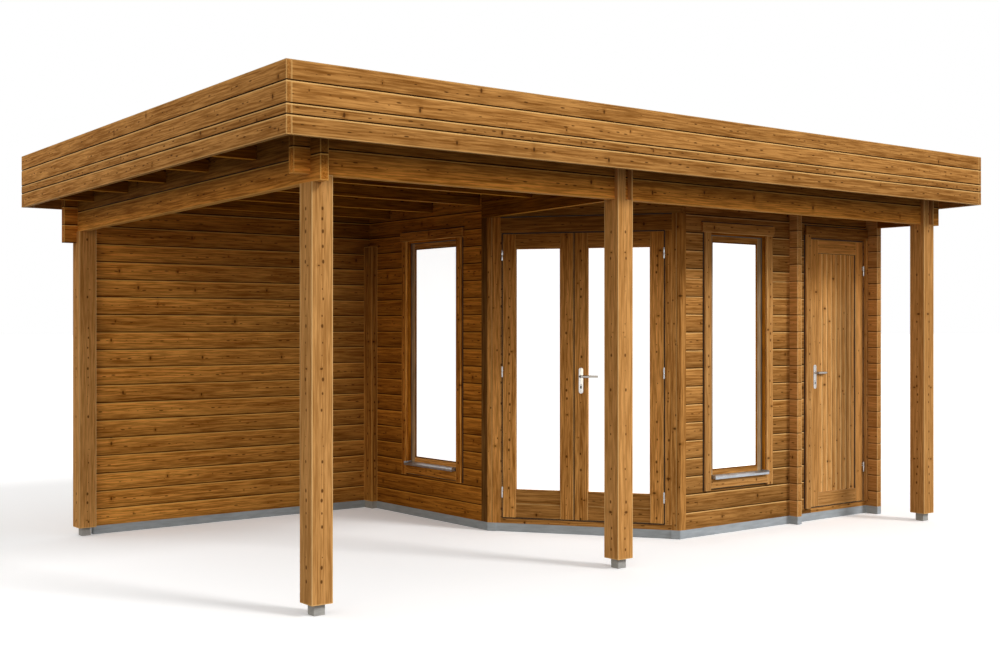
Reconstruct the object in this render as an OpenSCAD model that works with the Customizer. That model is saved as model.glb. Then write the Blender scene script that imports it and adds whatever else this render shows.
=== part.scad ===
// Flat-roofed timber garden shed with a corner canopy on square posts,
// a diagonal glazed double door, two tall windows and a storage bay with
// its own plank door. Millimetres, +Z up, origin on the ground under the
// middle of the roof.

/* [Canopy frame] */
// Width over the outer faces of the two front corner posts
frame_w = 5050; // [4950:5:5300]
// Depth from the front of the front posts to the back of the back post
frame_d = 3140; // [3000:5:3400]
// Side of a square post
post = 115; // [100:1:130]
// Place of the middle post's left face, as a share of the width
mid_post_share = 0.392; // [0.37:0.001:0.41]
// Height of the feet and of the base strips, where the timber starts
base_h = 55; // [40:1:80]
// Side of a square steel foot
foot = 60; // [40:1:80]
// Distance of the right wall from the right post's outer face
side_inset = 12; // [6:1:25]
// Distance of the left side beam from the left posts' outer faces
beam_inset = 8; // [4:1:20]
// Distance of the front beam from the posts' front faces
front_inset = 28; // [15:1:35]
// Distance of the back wall's rear face from the back post's rear face
back_inset = 20; // [10:1:30]
// How far the front beam's underside lies below the rafters' underside
front_beam_drop = 136; // [120:1:150]
// Height of the front beam's lower board
beam_board_h = 128; // [110:1:145]
// How far the side beams' underside lies below the rafters' underside
side_beam_drop = 173; // [150:1:185]
// How far the front beam's and the back wall's left ends pass the left posts
beam_tail = 82; // [50:1:150]
// How far the front beam's right end passes the right post
right_tail = 105; // [50:1:150]
// How far the left side beam's front end passes the corner post
nose = 66; // [20:1:80]
// Left edge of the slots in the middle post's and right post's heads
slot_x = 58; // [50:1:62]
// How far the cross beam's underside lies below the rafters' underside
cross_beam_drop = 89; // [60:1:89]
// Number of full courses under the back wall's log ends beside the back post
tail_course = 15; // [14:1:16]

/* [Logs] */
// Thickness of a wall log
log_t = 45; // [35:1:60]
// Height of one log course
course = 117.6; // [110:0.1:125]
// Height of the lowest course
first_course = 110; // [95:1:125]
// Course of the front wall that is cut down to fit
cut_course = 14; // [12:1:15]
// Height of the cut course
cut_course_h = 64; // [50:1:80]
// Depth of the V joint between two logs
joint_d = 4; // [2:0.5:6]
// Height of the V joint between two logs
joint_h = 9; // [5:1:12]
// How far the partition's log ends stand in front of the front wall
log_end = 70; // [40:5:100]
// How far the right wall's log ends stand in front of the front wall
right_log_end = 100; // [40:5:120]

/* [Roof] */
// Height of the wall between the door frame and the rafters
over_door = 123; // [100:1:150]
// Fall of the roof to the back, as a fraction of its depth
fall = 0.02; // [0:0.005:0.03]
// Overhang past the side posts
side_eave = 255; // [200:5:300]
// Overhang in front of the front posts
front_eave = 215; // [150:5:300]
// Overhang behind the back post
back_eave = 250; // [150:5:300]
// Height of a rafter
rafter_h = 140; // [100:1:160]
// Width of a rafter
rafter_w = 45; // [35:1:60]
// Front face of the first rafter behind the front beam
first_rafter_y = 567; // [450:1:600]
// Distance from the last rafter's front face to the back wall
last_rafter_gap = 288; // [150:1:350]
// Number of rafters
rafter_count = 5; // [4:1:6]
// Thickness of the roof boards
deck_t = 18; // [12:1:25]
// Thickness of the roofing sheet
sheet_t = 5; // [3:1:8]
// Height of the fascia, from its lower edge to the top of the roof
fascia_h = 338; // [280:1:380]
// Thickness of the fascia boards
fascia_t = 28; // [20:1:35]
// Height of the fascia's top board
fascia_1 = 94; // [80:1:105]
// Height of the fascia's second board
fascia_2 = 103; // [80:1:110]
// Height of the fascia's narrow third board
fascia_3 = 51; // [40:1:60]

/* [Cabin] */
// Place of the window wall's outer face, as a share of the width
window_wall_share = 0.45; // [0.43:0.001:0.46]
// Where the diagonal door wall starts, from the front posts' front faces
door_start_y = 1591; // [1560:1:1620]
// Outer face of the front wall, from the front posts' front faces
front_wall_y = 533; // [520:1:560]
// Angle between the door wall and the front wall
door_angle = 54.2; // [52:0.1:56]
// Width of the door wall's left corner post
door_post_l = 89; // [80:1:95]
// Width of the door wall's right corner post
door_post_r = 56; // [50:1:65]
// Depth of the left corner post along the window wall
corner_face_l = 70; // [60:1:90]
// Width of the right corner post along the front wall
corner_face_r = 50; // [40:1:65]
// Thickness of the corner posts and of the door frame
corner_t = 70; // [60:1:80]
// Width of the post in the inner corner
inner_post_w = 50; // [40:1:80]
// Depth of the post in the inner corner
inner_post_d = 110; // [60:1:130]
// How far the inner corner post's top lies below the rafters' underside
inner_post_drop = 253; // [150:1:300]
// How far the blocks under the door wall's corners stand out
block_out = 10; // [5:1:15]
// How far the inner corner post's foot lies behind the post's free faces
inner_foot_in = 6; // [2:1:15]
// Width of the storage bay with its partition
storage_w = 870; // [800:1:950]

/* [Double door] */
// Width of the frame's jambs beside the leaves
jamb_w = 17; // [14:1:30]
// Height of the frame's head
head_h = 110; // [90:1:110]
// Height of the threshold
sill_h = 35; // [25:1:45]
// Height of a door leaf
leaf_h = 1905; // [1850:1:1925]
// Width of the left leaf
left_leaf_w = 486; // [440:1:520]
// Clearance round the leaves
leaf_gap = 5; // [5:0.5:7]
// Clearance at the leaves' free edges
free_gap = 8; // [8:0.5:10]
// Thickness of a leaf
leaf_t = 42; // [35:1:44]
// How far a leaf lies behind the wall's outer face
leaf_recess = 2; // [1:0.5:10]
// Width of a leaf's stiles
stile_w = 89; // [70:1:100]
// Height of a leaf's top rail
top_rail_h = 98; // [80:1:120]
// Height of the boarded panel under the glass
panel_h = 186; // [150:1:300]
// How far the panel's boards lie behind the stiles' faces
panel_in = 4; // [2:1:8]
// Thickness of the glass
glass_t = 16; // [6:1:24]

/* [Storage door] */
// Width of the storage door's leaf
storage_leaf_w = 590; // [500:1:600]
// Height of the storage door's rails
storage_rail_h = 96; // [80:1:120]
// Width of the storage door's stiles
storage_stile_w = 80; // [60:1:90]
// Width of the board on the wall beside the storage door's leaf
storage_board_w = 68; // [40:1:90]
// Height of the wall shown between the storage leaf and the board over it
storage_reveal = 22; // [10:1:30]
// Thickness of the plank field
plank_t = 26; // [16:1:32]
// Number of planks in the storage door
plank_count = 8; // [6:1:10]

/* [Windows] */
// Width of the front window over its head board
front_window_w = 712; // [640:1:740]
// Width of the side window over its head board
side_window_w = 771; // [680:1:800]
// Place of the front window's middle along the front wall, as a share of its length
front_window_share = 0.483; // [0.46:0.001:0.52]
// Lower ends of a window's upright casing boards
window_z = 295; // [270:1:330]
// How far a window's casing lies below the top of the door frame
window_top_drop = 49; // [20:1:80]
// Place of the side window's middle along the window wall, as a share of its length
side_window_share = 0.59; // [0.56:0.001:0.61]
// Width of the casing boards
casing_w = 56; // [45:1:70]
// Height of the casing's head board
casing_head_h = 66; // [55:1:90]
// Height of the casing's bottom board
casing_bottom_h = 60; // [45:1:80]
// How far the upright casing boards pass the bottom board
casing_foot = 13; // [5:1:25]
// How far the head passes the upright casing boards
casing_ear = 20; // [10:1:30]
// Thickness of the casing boards
casing_t = 20; // [15:1:28]
// Thickness of the lining of a window opening
lining_t = 12; // [8:1:18]
// Width of a sash's bars
sash_w = 50; // [40:1:65]
// Thickness of a sash
sash_t = 40; // [35:1:50]
// How far a sash lies behind the wall's outer face
sash_in = 23; // [10:1:30]
// How far a window sill stands out from the casing
sill_out = 25; // [15:1:50]
// Rise of a sill's top towards the sash
sill_rise = 12; // [8:1:18]
// Thickness of a sill's metal
sill_t = 4; // [3:1:6]
// Depth of a sill's lip below the lining
sill_lip = 10; // [5:1:15]

/* [Door fittings] */
// Radius of a hinge knuckle
knuckle_r = 7; // [6:0.5:9]
// Length of one half of a hinge
knuckle_l = 36; // [30:1:45]
// Distance of a hinge pin's axis from the leaf's outer face
pin_out = 9; // [8.5:0.5:10]
// Length of a hinge's lug beside its knuckle
lug_out = 5; // [4:0.5:7]
// How far a hinge's lug reaches under its knuckle
lug_in = 2; // [1:0.5:4]
// Lower end of the lowest hinge above the leaf's lower edge
hinge_low = 140; // [100:5:250]
// Lower end of the highest hinge below the leaf's upper edge
hinge_high = 170; // [120:5:300]
// Thickness of hinge leaves and handle plates
plate_t = 3; // [2:0.5:4]
// Height of a handle plate
handle_plate_h = 172; // [140:1:200]
// Width of a handle plate
handle_plate_w = 30; // [26:1:40]
// Place of the lever's axis on its plate, as a share of the plate's height
plate_share = 0.66; // [0.5:0.01:0.8]
// Lever axis above the ground
lever_z = 1048; // [1000:1:1100]
// Length of a lever from its axis to its tip
lever_l = 118; // [90:1:130]
// Radius of a lever's grip
lever_r = 9; // [7:0.5:11]
// Distance of a lever's grip from the leaf's face
lever_out = 45; // [35:1:55]

/* [Hidden] */
$fn = 32;
// Clearance between the two halves of a hinge
run = 0.3;
// Radial clearance of a spindle in its bore
fit = 0.08;
// Cuts reach past the faces they go through by this much
past = 50;
// Courses that are listed; a wall takes those between its foot and its top
last_course = 20;

frame_mid_x = frame_w / 2;
roof_front = -front_eave;
roof_back = frame_d + back_eave;
roof_mid_y = (roof_front + roof_back) / 2;
deck_z = rafter_h;

mid_post_x = frame_w * mid_post_share;
right_post_x = frame_w - post;
back_post_y = frame_d - post;
left_beam_x = beam_inset;
right_wall_x = frame_w - side_inset - log_t;
back_wall_y = frame_d - back_inset - log_t;
window_wall_x = frame_w * window_wall_share;
window_wall_y = door_start_y + corner_face_l;
partition_x = right_wall_x - storage_w;
last_rafter_y = back_wall_y - last_rafter_gap;
rafter_pitch = (last_rafter_y - first_rafter_y) / (rafter_count - 1);

// Door wall: its length, its two ends and the leaves' places along it
door_wall_l = (door_start_y - front_wall_y) / sin(door_angle);
door_end_x = window_wall_x + door_wall_l * cos(door_angle);
front_wall_x = door_end_x + corner_face_r;
leaf_x0 = door_post_l + jamb_w;
leaf_z0 = base_h + sill_h;
right_jamb_w = 53;
leaves_end = door_wall_l - door_post_r - right_jamb_w;
left_leaf_x = leaf_x0;
right_leaf_x = left_leaf_x + left_leaf_w + free_gap;
right_leaf_w = leaves_end - right_leaf_x;
leaf_top = leaf_z0 + leaf_gap + leaf_h;
head_z = leaf_top + leaf_gap;
head_top = head_z + head_h;
// Clearance between the door frame and the wall round it
seat = 0.1;

// Heights that follow the doors
roof_z = head_top + over_door;
front_beam_z = roof_z - front_beam_drop;
tail_z = base_h + first_course + tail_course * course;
inner_post_top = roof_z - inner_post_drop;

storage_x0 = partition_x + log_t;
storage_jamb_w = 36;
storage_leaf_end = right_wall_x - storage_jamb_w - leaf_gap;
storage_leaf_x = storage_leaf_end - storage_leaf_w;
storage_hole_x = storage_leaf_x - free_gap;

window_top = head_top - window_top_drop;
window_hole_z = window_z + casing_foot + casing_bottom_h;
window_hole_top = window_top - casing_head_h;
front_window_c = front_wall_x + front_window_share * (partition_x - front_wall_x);
side_window_c = side_window_share * (back_wall_y - window_wall_y);

// Heights of the joints between logs; the front wall has one course cut down
course_tops = [for (k = [0 : 1 : last_course]) base_h + first_course + k * course];
cut_course_shift = cut_course_h - course;
front_course_tops = [for (k = [0 : 1 : last_course])
    course_tops[k] + (k < cut_course ? 0 : cut_course_shift)];

left_pin_x = left_leaf_x - leaf_gap / 2;
right_pin_x = leaves_end + leaf_gap / 2;
storage_pin_x = storage_leaf_end + leaf_gap / 2;
right_lever_x = right_leaf_x + stile_w / 2;
storage_lever_x = storage_leaf_x + storage_stile_w / 2;
spindle_r = 5;

lever_colour = [0.72, 0.72, 0.7];
wood = [0.62, 0.4, 0.2];
dark_wood = [0.42, 0.25, 0.11];
steel_grey = [0.55, 0.56, 0.56];

// ---- frames of reference ----

// Everything is drawn from the left corner post's outer front corner
module at_site() {
    translate([-frame_mid_x, -roof_mid_y, 0])
        children();
}

// Along the window wall: x runs from the inner corner to the front, y inwards
module on_window_wall() {
    at_site()
        translate([window_wall_x, back_wall_y, 0])
            rotate([0, 0, -90])
                children();
}

// Along the door wall: x runs from its left corner to its right, y inwards
module on_door_wall() {
    at_site()
        translate([window_wall_x, door_start_y, 0])
            rotate([0, 0, -door_angle])
                children();
}

// Along the front wall: x as on the site, y inwards
module on_front_wall() {
    at_site()
        translate([0, front_wall_y, 0])
            children();
}

// ---- shapes that repeat ----

module block(from, to) {
    translate(from)
        cube(to - from);
}

// A prism along x from a list of [y, z] points
module along_x(x0, x1, points) {
    translate([x0, 0, 0])
        rotate([90, 0, 90])
            linear_extrude(x1 - x0)
                polygon(points);
}

// A prism along y from a list of [x, z] points
module along_y(y0, y1, points) {
    translate([0, y1, 0])
        rotate([90, 0, 0])
            linear_extrude(y1 - y0)
                polygon(points);
}

// Outline of a wall's section, with a V joint between logs on both faces
function log_section(face, z0, z1, tops) =
    let (low = z0 + joint_h, high = z1 - joint_h)
    let (inside = [for (z = tops) if (z > low && z < high) z])
    let (n = len(inside))
    concat(
        [[face, z0]],
        [for (z = inside, p = joint_points(face, z, joint_d)) p],
        [[face, z1], [face + log_t, z1]],
        [for (k = [n - 1 : -1 : 0], p = joint_points(face + log_t, inside[k], -joint_d, -1)) p],
        [[face + log_t, z0]]
    );

// The three corners of one V joint, going up or down
function joint_points(face, z, depth, way = 1) = [
    [face, z - way * joint_h / 2],
    [face + depth, z],
    [face, z + way * joint_h / 2]
];

module log_wall_x(x0, x1, face, z0, tops = course_tops) {
    along_x(x0, x1, log_section(face, z0, roof_z + deck_z, tops));
}

module log_wall_y(y0, y1, face, z0) {
    along_y(y0, y1, log_section(face, z0, roof_z + deck_z, course_tops));
}

// A joint between two boards that follow the roof's fall, on both faces of a beam
module falling_joint(x, t, y0, y1, up) {
    half = joint_h / 2;
    for (face = [x, x + t])
        translate([face, y0, roof_line(y0, up)])
            rotate([-atan(fall), 0, 0])
                along_y(0, (y1 - y0) / cos(atan(fall)),
                    [[-joint_d, 0], [0, -half], [joint_d, 0], [0, half]]);
}

// The same on the front and back of a level beam
module level_joint(x0, x1, y, t, z) {
    half = joint_h / 2;
    for (face = [y, y + t])
        translate([0, face, z])
            along_x(x0, x1, [[-joint_d, 0], [0, -half], [joint_d, 0], [0, half]]);
}

// Height of a line of the roof, given above the rafters' underside
function roof_line(y, up) = roof_z - fall * y + up;

// A slab that follows the roof's fall, plumb at its front and back
module roof_slab(x0, x1, y0, y1, low, high) {
    along_x(x0, x1, [
        [y0, roof_line(y0, low)],
        [y1, roof_line(y1, low)],
        [y1, roof_line(y1, high)],
        [y0, roof_line(y0, high)]
    ]);
}

// Everything over the underside of the roof boards
module over_boards() {
    roof_slab(-beam_tail, frame_w + right_tail, roof_front, roof_back, deck_z, 2 * deck_z);
}

// Everything under the roof boards
module under_boards() {
    along_x(-beam_tail, frame_w + right_tail, [
        [roof_front, 0],
        [roof_back, 0],
        [roof_back, roof_line(roof_back, deck_z)],
        [roof_front, roof_line(roof_front, deck_z)]
    ]);
}

module rafter_solids(over = 0) {
    for (i = [0 : rafter_count - 1]) {
        y = first_rafter_y + i * rafter_pitch;
        block(
            [fascia_t - side_eave, y, roof_line(y, 0)],
            [frame_w + side_eave - fascia_t, y + rafter_w, roof_line(y + rafter_w, deck_z) + over]
        );
    }
}

// Notches for the rafters, open at the top
module rafter_notches() {
    rafter_solids(past);
}

// Wall standing on the base, cut off under the roof boards and round the rafters
module trimmed() {
    difference() {
        intersection() {
            children();
            under_boards();
        }
        rafter_notches();
    }
}

module front_beam_solid(over = 0) {
    block([-beam_tail, front_inset, front_beam_z],
        [frame_w + right_tail, front_inset + log_t, roof_line(front_inset + log_t, deck_z) + over]);
}

// Notch for the front beam, open at the top
module front_beam_notch() {
    front_beam_solid(past);
}

// Side beams follow the roof's fall
module side_beam_solid(x, y0, y1) {
    roof_slab(x, x + log_t, y0, y1, -side_beam_drop, deck_z);
}

// Notch for the left side beam in a post's head, open to the left and at the top
module side_beam_notch(y0, y1) {
    roof_slab(-past, left_beam_x + log_t, y0, y1, -side_beam_drop, deck_z + past);
}

// Slot through the back post's head for the back wall's log ends
module tail_slot() {
    block([-beam_tail, back_wall_y, tail_z], [post + past, back_wall_y + log_t, roof_z + deck_z]);
}

module post_solid(x, y) {
    block([x, y, base_h], [x + post, y + post, roof_line(y + post, deck_z)]);
}

module foot_solid(x, y, side) {
    block([x, y, 0], [x + side, y + side, base_h]);
}

// ---- feet and base strips ----

module post_feet() {
    inset = (post - foot) / 2;
    inner_x = window_wall_x - inner_post_w + inner_foot_in;
    inner_y = back_wall_y - inner_post_d + inner_foot_in;
    color(steel_grey)
        at_site() {
            for (p = [[0, 0], [mid_post_x, 0], [right_post_x, 0], [0, back_post_y]])
                foot_solid(p.x + inset, p.y + inset, foot);
            block([inner_x, inner_y, 0], [window_wall_x, back_wall_y, base_h]);
        }
}

// A strip under a wall between two corners of its plan
module base_strip(x0, x1, y0, y1) {
    block([x0, y0, 0], [x1, y1, base_h]);
}

module long_bases() {
    color(steel_grey)
        at_site() {
            base_strip(post, right_wall_x, back_wall_y, back_wall_y + log_t);
            base_strip(front_wall_x, partition_x, front_wall_y, front_wall_y + log_t);
            base_strip(storage_x0, right_wall_x, front_wall_y, front_wall_y + log_t);
        }
}

module cross_bases() {
    color(steel_grey)
        at_site() {
            base_strip(window_wall_x, window_wall_x + log_t, window_wall_y, back_wall_y);
            base_strip(partition_x, partition_x + log_t, front_wall_y - log_end, back_wall_y);
            base_strip(right_wall_x, right_wall_x + log_t,
                front_wall_y - right_log_end, back_wall_y + log_t);
        }
}

module door_base() {
    color(steel_grey)
        upright(0, base_h, [
            door_plan(0, 0),
            [door_end_x, front_wall_y],
            [front_wall_x, front_wall_y],
            [front_wall_x, front_wall_y + log_t],
            door_plan(door_right_mitre(log_t), log_t),
            door_plan(door_left_mitre(log_t), log_t),
            [window_wall_x + log_t, window_wall_y],
            [window_wall_x, window_wall_y]
        ]);
    // Blocks under the outer edges of the two corner posts
    for (x = [0, door_wall_l - foot])
        color(steel_grey)
            upright(0, base_h, [
                door_plan(x, -block_out),
                door_plan(x + foot, -block_out),
                door_plan(x + foot, log_t / 2),
                door_plan(x, log_t / 2)
            ]);
}

// ---- posts ----

// Slot through a post's head from front to back, as wide as a log
module head_slot(x) {
    block([x + slot_x, -past, front_beam_z], [x + slot_x + log_t, post + past, roof_z + deck_z + past]);
}

module front_left_post() {
    color(wood)
        at_site()
            difference() {
                block([0, 0, base_h], [post, post, front_beam_z]);
                side_beam_notch(-past, post + past);
            }
}

module front_middle_post() {
    color(wood)
        at_site()
            difference() {
                post_solid(mid_post_x, 0);
                front_beam_notch();
                head_slot(mid_post_x);
            }
}

module front_right_post() {
    color(wood)
        at_site()
            difference() {
                post_solid(right_post_x, 0);
                front_beam_notch();
                head_slot(right_post_x);
            }
}

module back_left_post() {
    color(wood)
        at_site()
            difference() {
                post_solid(0, back_post_y);
                tail_slot();
                side_beam_notch(back_post_y - past, back_wall_y);
            }
}

// ---- beams ----

module front_beam() {
    color(wood)
        at_site()
            difference() {
                front_beam_solid();
                level_joint(-beam_tail - past, frame_w + right_tail + past, front_inset, log_t,
                    front_beam_z + beam_board_h);
            }
}

module left_beam() {
    color(dark_wood)
        at_site()
            difference() {
                side_beam_solid(left_beam_x, -nose, back_wall_y);
                falling_joint(left_beam_x, log_t, -nose - past, back_wall_y + past,
                    beam_board_h - side_beam_drop);
                front_beam_notch();
                rafter_notches();
            }
}

// The window wall's line carried on to the front beam, over the door wall
module cross_beam_line() {
    roof_slab(window_wall_x, window_wall_x + log_t, front_inset + log_t, window_wall_y,
        -cross_beam_drop, deck_z);
}

// Over the line of the window wall, and through the right post to the right wall
module cross_beams() {
    color(dark_wood)
        at_site()
            difference() {
                union() {
                    cross_beam_line();
                    block([right_wall_x, front_inset + log_t, front_beam_z],
                        [right_wall_x + log_t, front_wall_y - right_log_end, roof_z + deck_z]);
                }
                rafter_notches();
                over_boards();
            }
}

// ---- walls ----

module back_wall() {
    color(wood)
        at_site()
            difference() {
                log_wall_x(-beam_tail, right_wall_x, back_wall_y, base_h);
                block([-beam_tail - past, back_wall_y - past, 0],
                    [post, back_wall_y + log_t + past, tail_z]);
                over_boards();
            }
}

module window_wall() {
    color(dark_wood)
        difference() {
            at_site()
                trimmed()
                    log_wall_y(window_wall_y, back_wall_y, window_wall_x, base_h);
            on_window_wall()
                window_hole(side_window_c, side_window_w);
        }
}

// Between the double door and the partition, and beside the storage door
module front_wall() {
    color(wood)
        difference() {
            at_site()
                trimmed() {
                    log_wall_x(front_wall_x, partition_x, front_wall_y, base_h, front_course_tops);
                    log_wall_x(storage_x0, storage_hole_x, front_wall_y, base_h, front_course_tops);
                }
            on_front_wall()
                window_hole(front_window_c, front_window_w);
        }
}

module storage_lintel() {
    color(wood)
        at_site()
            trimmed()
                log_wall_x(storage_hole_x, right_wall_x, front_wall_y, head_z, front_course_tops);
}

module partition() {
    color(wood)
        at_site()
            trimmed()
                log_wall_y(front_wall_y - log_end, back_wall_y, partition_x, base_h);
}

module right_wall() {
    color(wood)
        at_site()
            trimmed()
                log_wall_y(front_wall_y - right_log_end, back_wall_y + log_t, right_wall_x, base_h);
}

// ---- corner posts and the wall over the double door ----

module inner_corner_post() {
    color(dark_wood)
        at_site()
            block([window_wall_x - inner_post_w, back_wall_y - inner_post_d, base_h],
                [window_wall_x, back_wall_y, inner_post_top]);
}

// Plan point on the site of a point on the door wall: x along it, y inwards
function door_plan(x, y) = [
    window_wall_x + x * cos(door_angle) + y * sin(door_angle),
    door_start_y - x * sin(door_angle) + y * cos(door_angle)
];

// Where a layer of depth d of the door wall meets the same layer of its neighbours
function door_left_mitre(d) = d * (1 - sin(door_angle)) / cos(door_angle);
function door_right_mitre(d) = door_wall_l - d * (1 - cos(door_angle)) / sin(door_angle);

module upright(z0, z1, plan) {
    at_site()
        translate([0, 0, z0])
            linear_extrude(z1 - z0)
                polygon(plan);
}

module door_left_post() {
    color(wood)
        upright(base_h, head_top, [
            door_plan(0, 0),
            door_plan(door_post_l, 0),
            door_plan(door_post_l, corner_t),
            door_plan(door_left_mitre(corner_t), corner_t),
            [window_wall_x + corner_t, window_wall_y],
            [window_wall_x, window_wall_y]
        ]);
}

module door_right_post() {
    color(wood)
        upright(base_h, head_top, [
            door_plan(door_wall_l - door_post_r, 0),
            [door_end_x, front_wall_y],
            [front_wall_x, front_wall_y],
            [front_wall_x, front_wall_y + corner_t],
            door_plan(door_right_mitre(corner_t), corner_t),
            door_plan(door_wall_l - door_post_r, corner_t)
        ]);
}

// Top of the door wall, with the short return over its right post
module door_lintel() {
    color(wood)
        difference() {
            upright(head_top, roof_z + deck_z, [
                door_plan(log_t / cos(door_angle), 0),
                [door_end_x, front_wall_y],
                [front_wall_x, front_wall_y],
                [front_wall_x, front_wall_y + log_t],
                door_plan(door_right_mitre(log_t), log_t),
                door_plan(door_left_mitre(log_t), log_t)
            ]);
            at_site() {
                rafter_notches();
                over_boards();
            }
        }
}

// ---- roof ----

module rafters() {
    color(dark_wood)
        at_site()
            rafter_solids();
}

module roof_boards() {
    color(dark_wood)
        at_site()
            roof_slab(fascia_t - side_eave, frame_w + side_eave - fascia_t,
                roof_front + fascia_t, roof_back - fascia_t, deck_z, deck_z + deck_t);
}

module roofing_sheet() {
    color([0.2, 0.2, 0.21])
        at_site()
            roof_slab(fascia_t - side_eave, frame_w + side_eave - fascia_t,
                roof_front + fascia_t, roof_back - fascia_t, deck_z + deck_t, deck_z + deck_t + sheet_t);
}

module cross_fascia(y) {
    block([fascia_t - side_eave, y, roof_line(y, 0)],
        [frame_w + side_eave - fascia_t, y + fascia_t, roof_line(y, fascia_h)]);
}

// Heights of the joints between the fascia's boards, above the rafters' underside
fascia_joints = [
    fascia_h - fascia_1,
    fascia_h - fascia_1 - fascia_2,
    fascia_h - fascia_1 - fascia_2 - fascia_3
];

module grooved_cross_fascia(y) {
    difference() {
        cross_fascia(y);
        for (up = fascia_joints)
            level_joint(-side_eave, frame_w + side_eave, y, fascia_t, roof_line(y, up));
    }
}

module grooved_side_fascia(x) {
    difference() {
        roof_slab(x, x + fascia_t, roof_front, roof_back, 0, fascia_h);
        for (up = fascia_joints)
            falling_joint(x, fascia_t, roof_front - past, roof_back + past, up);
    }
}

module front_fascia() {
    color(wood)
        at_site()
            grooved_cross_fascia(roof_front);
}

module back_fascia() {
    color(wood)
        at_site()
            grooved_cross_fascia(roof_back - fascia_t);
}

module left_fascia() {
    color(wood)
        at_site()
            grooved_side_fascia(-side_eave);
}

module right_fascia() {
    color(wood)
        at_site()
            grooved_side_fascia(frame_w + side_eave - fascia_t);
}

// ---- double door ----

module door_frame() {
    x0 = door_post_l + seat;
    x1 = door_wall_l - door_post_r - seat;
    color(wood)
        on_door_wall() {
            // Threshold and head
            block([x0, 0, base_h], [x1, corner_t, leaf_z0]);
            block([x0, 0, head_z], [x1, corner_t, head_top - seat]);
            // Jambs
            block([x0, 0, leaf_z0], [leaf_x0 - leaf_gap, corner_t, head_z]);
            block([leaves_end + leaf_gap, 0, leaf_z0], [x1, corner_t, head_z]);
        }
}

// Stiles, rail and panel boards round a glass that fills the opening between them
module glazed_leaf(x, w) {
    z = leaf_z0 + leaf_gap;
    x0 = x + stile_w;
    x1 = x + w - stile_w;
    difference() {
        block([x, leaf_recess, z], [x + w, leaf_recess + leaf_t, z + leaf_h]);
        block([x0, leaf_recess - past, z + panel_h],
            [x1, leaf_recess + leaf_t + past, z + leaf_h - top_rail_h]);
        for (y = [leaf_recess - past, leaf_recess + leaf_t - panel_in])
            block([x0, y, z - past], [x1, y + past + panel_in, z + panel_h + past]);
        level_joint(x0, x1, leaf_recess + panel_in, leaf_t - 2 * panel_in, z + panel_h / 2);
    }
}

module leaf_glass(x, w) {
    z = leaf_z0 + leaf_gap;
    y = leaf_recess + (leaf_t - glass_t) / 2;
    block([x + stile_w, y, z + panel_h], [x + w - stile_w, y + glass_t, z + leaf_h - top_rail_h]);
}

module left_leaf() {
    color(wood)
        on_door_wall()
            glazed_leaf(left_leaf_x, left_leaf_w);
}

module left_leaf_glass() {
    color([0.85, 0.9, 0.92])
        on_door_wall()
            leaf_glass(left_leaf_x, left_leaf_w);
}

module right_leaf() {
    color(wood)
        on_door_wall()
            difference() {
                glazed_leaf(right_leaf_x, right_leaf_w);
                spindle_hole(right_lever_x);
            }
}

module right_leaf_glass() {
    color([0.85, 0.9, 0.92])
        on_door_wall()
            leaf_glass(right_leaf_x, right_leaf_w);
}

// ---- storage door ----

// Jamb, threshold and the boards on the wall round the leaf
module storage_frame() {
    jamb_x = storage_leaf_end + leaf_gap;
    board_x = storage_hole_x - storage_board_w;
    hinge_room = 2 * knuckle_r;
    head_board_z = head_z + storage_reveal;
    color(wood)
        on_front_wall() {
            block([storage_hole_x, 0, base_h], [right_wall_x, log_t, leaf_z0]);
            block([jamb_x, 0, leaf_z0], [right_wall_x, log_t, head_z]);
            block([board_x, -casing_t, leaf_z0], [storage_hole_x, 0, head_board_z]);
            block([jamb_x + hinge_room, -casing_t, leaf_z0], [right_wall_x, 0, head_board_z]);
            block([board_x, -casing_t, head_board_z], [right_wall_x, 0, head_board_z + casing_head_h]);
        }
}

module storage_leaf() {
    z = leaf_z0 + leaf_gap;
    color(wood)
        on_front_wall()
            difference() {
                block([storage_leaf_x, leaf_recess, z],
                    [storage_leaf_x + storage_leaf_w, leaf_recess + leaf_t, z + leaf_h]);
                // The plank field lies back from the stiles and rails on both faces
                for (y = [leaf_recess - past, leaf_recess + (leaf_t + plank_t) / 2])
                    block([storage_leaf_x + storage_stile_w, y, z + storage_rail_h],
                        [storage_leaf_x + storage_leaf_w - storage_stile_w,
                            y + past + (leaf_t - plank_t) / 2, z + leaf_h - storage_rail_h]);
                plank_joints();
                spindle_hole(storage_lever_x);
            }
}

// Upright V joints between the planks, on both faces of the plank field
module plank_joints() {
    z = leaf_z0 + leaf_gap + storage_rail_h;
    x = storage_leaf_x + storage_stile_w;
    field_w = storage_leaf_w - 2 * storage_stile_w;
    depth = joint_d / 2;
    y = leaf_recess + (leaf_t - plank_t) / 2;
    for (k = [1 : plank_count - 1], face = [y, y + plank_t])
        translate([x + k * field_w / plank_count, face, z])
            linear_extrude(leaf_h - 2 * storage_rail_h)
                polygon([[-depth, 0], [0, -depth], [depth, 0], [0, depth]]);
}

// ---- windows ----

// Half the width of a window's opening, from its width over the head board
function hole_half(w) = w / 2 - casing_ear - casing_w;

module window_hole(c, w) {
    half = hole_half(w);
    block([c - half, -past, window_hole_z], [c + half, log_t + past, window_hole_top]);
}

// Boards round the opening, on the wall's outer face
module casing(c, w) {
    half = w / 2;
    bottom_z = window_z + casing_foot;
    for (side = [-1, 1])
        translate([c + side * (half - casing_ear - casing_w / 2) - casing_w / 2, -casing_t, window_z])
            cube([casing_w, casing_t, window_top - window_z]);
    block([c - half, -casing_t, window_top - casing_head_h], [c + half, 0, window_top]);
    block([c - half + casing_ear, -casing_t, bottom_z],
        [c + half - casing_ear, 0, bottom_z + casing_bottom_h]);
}

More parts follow.
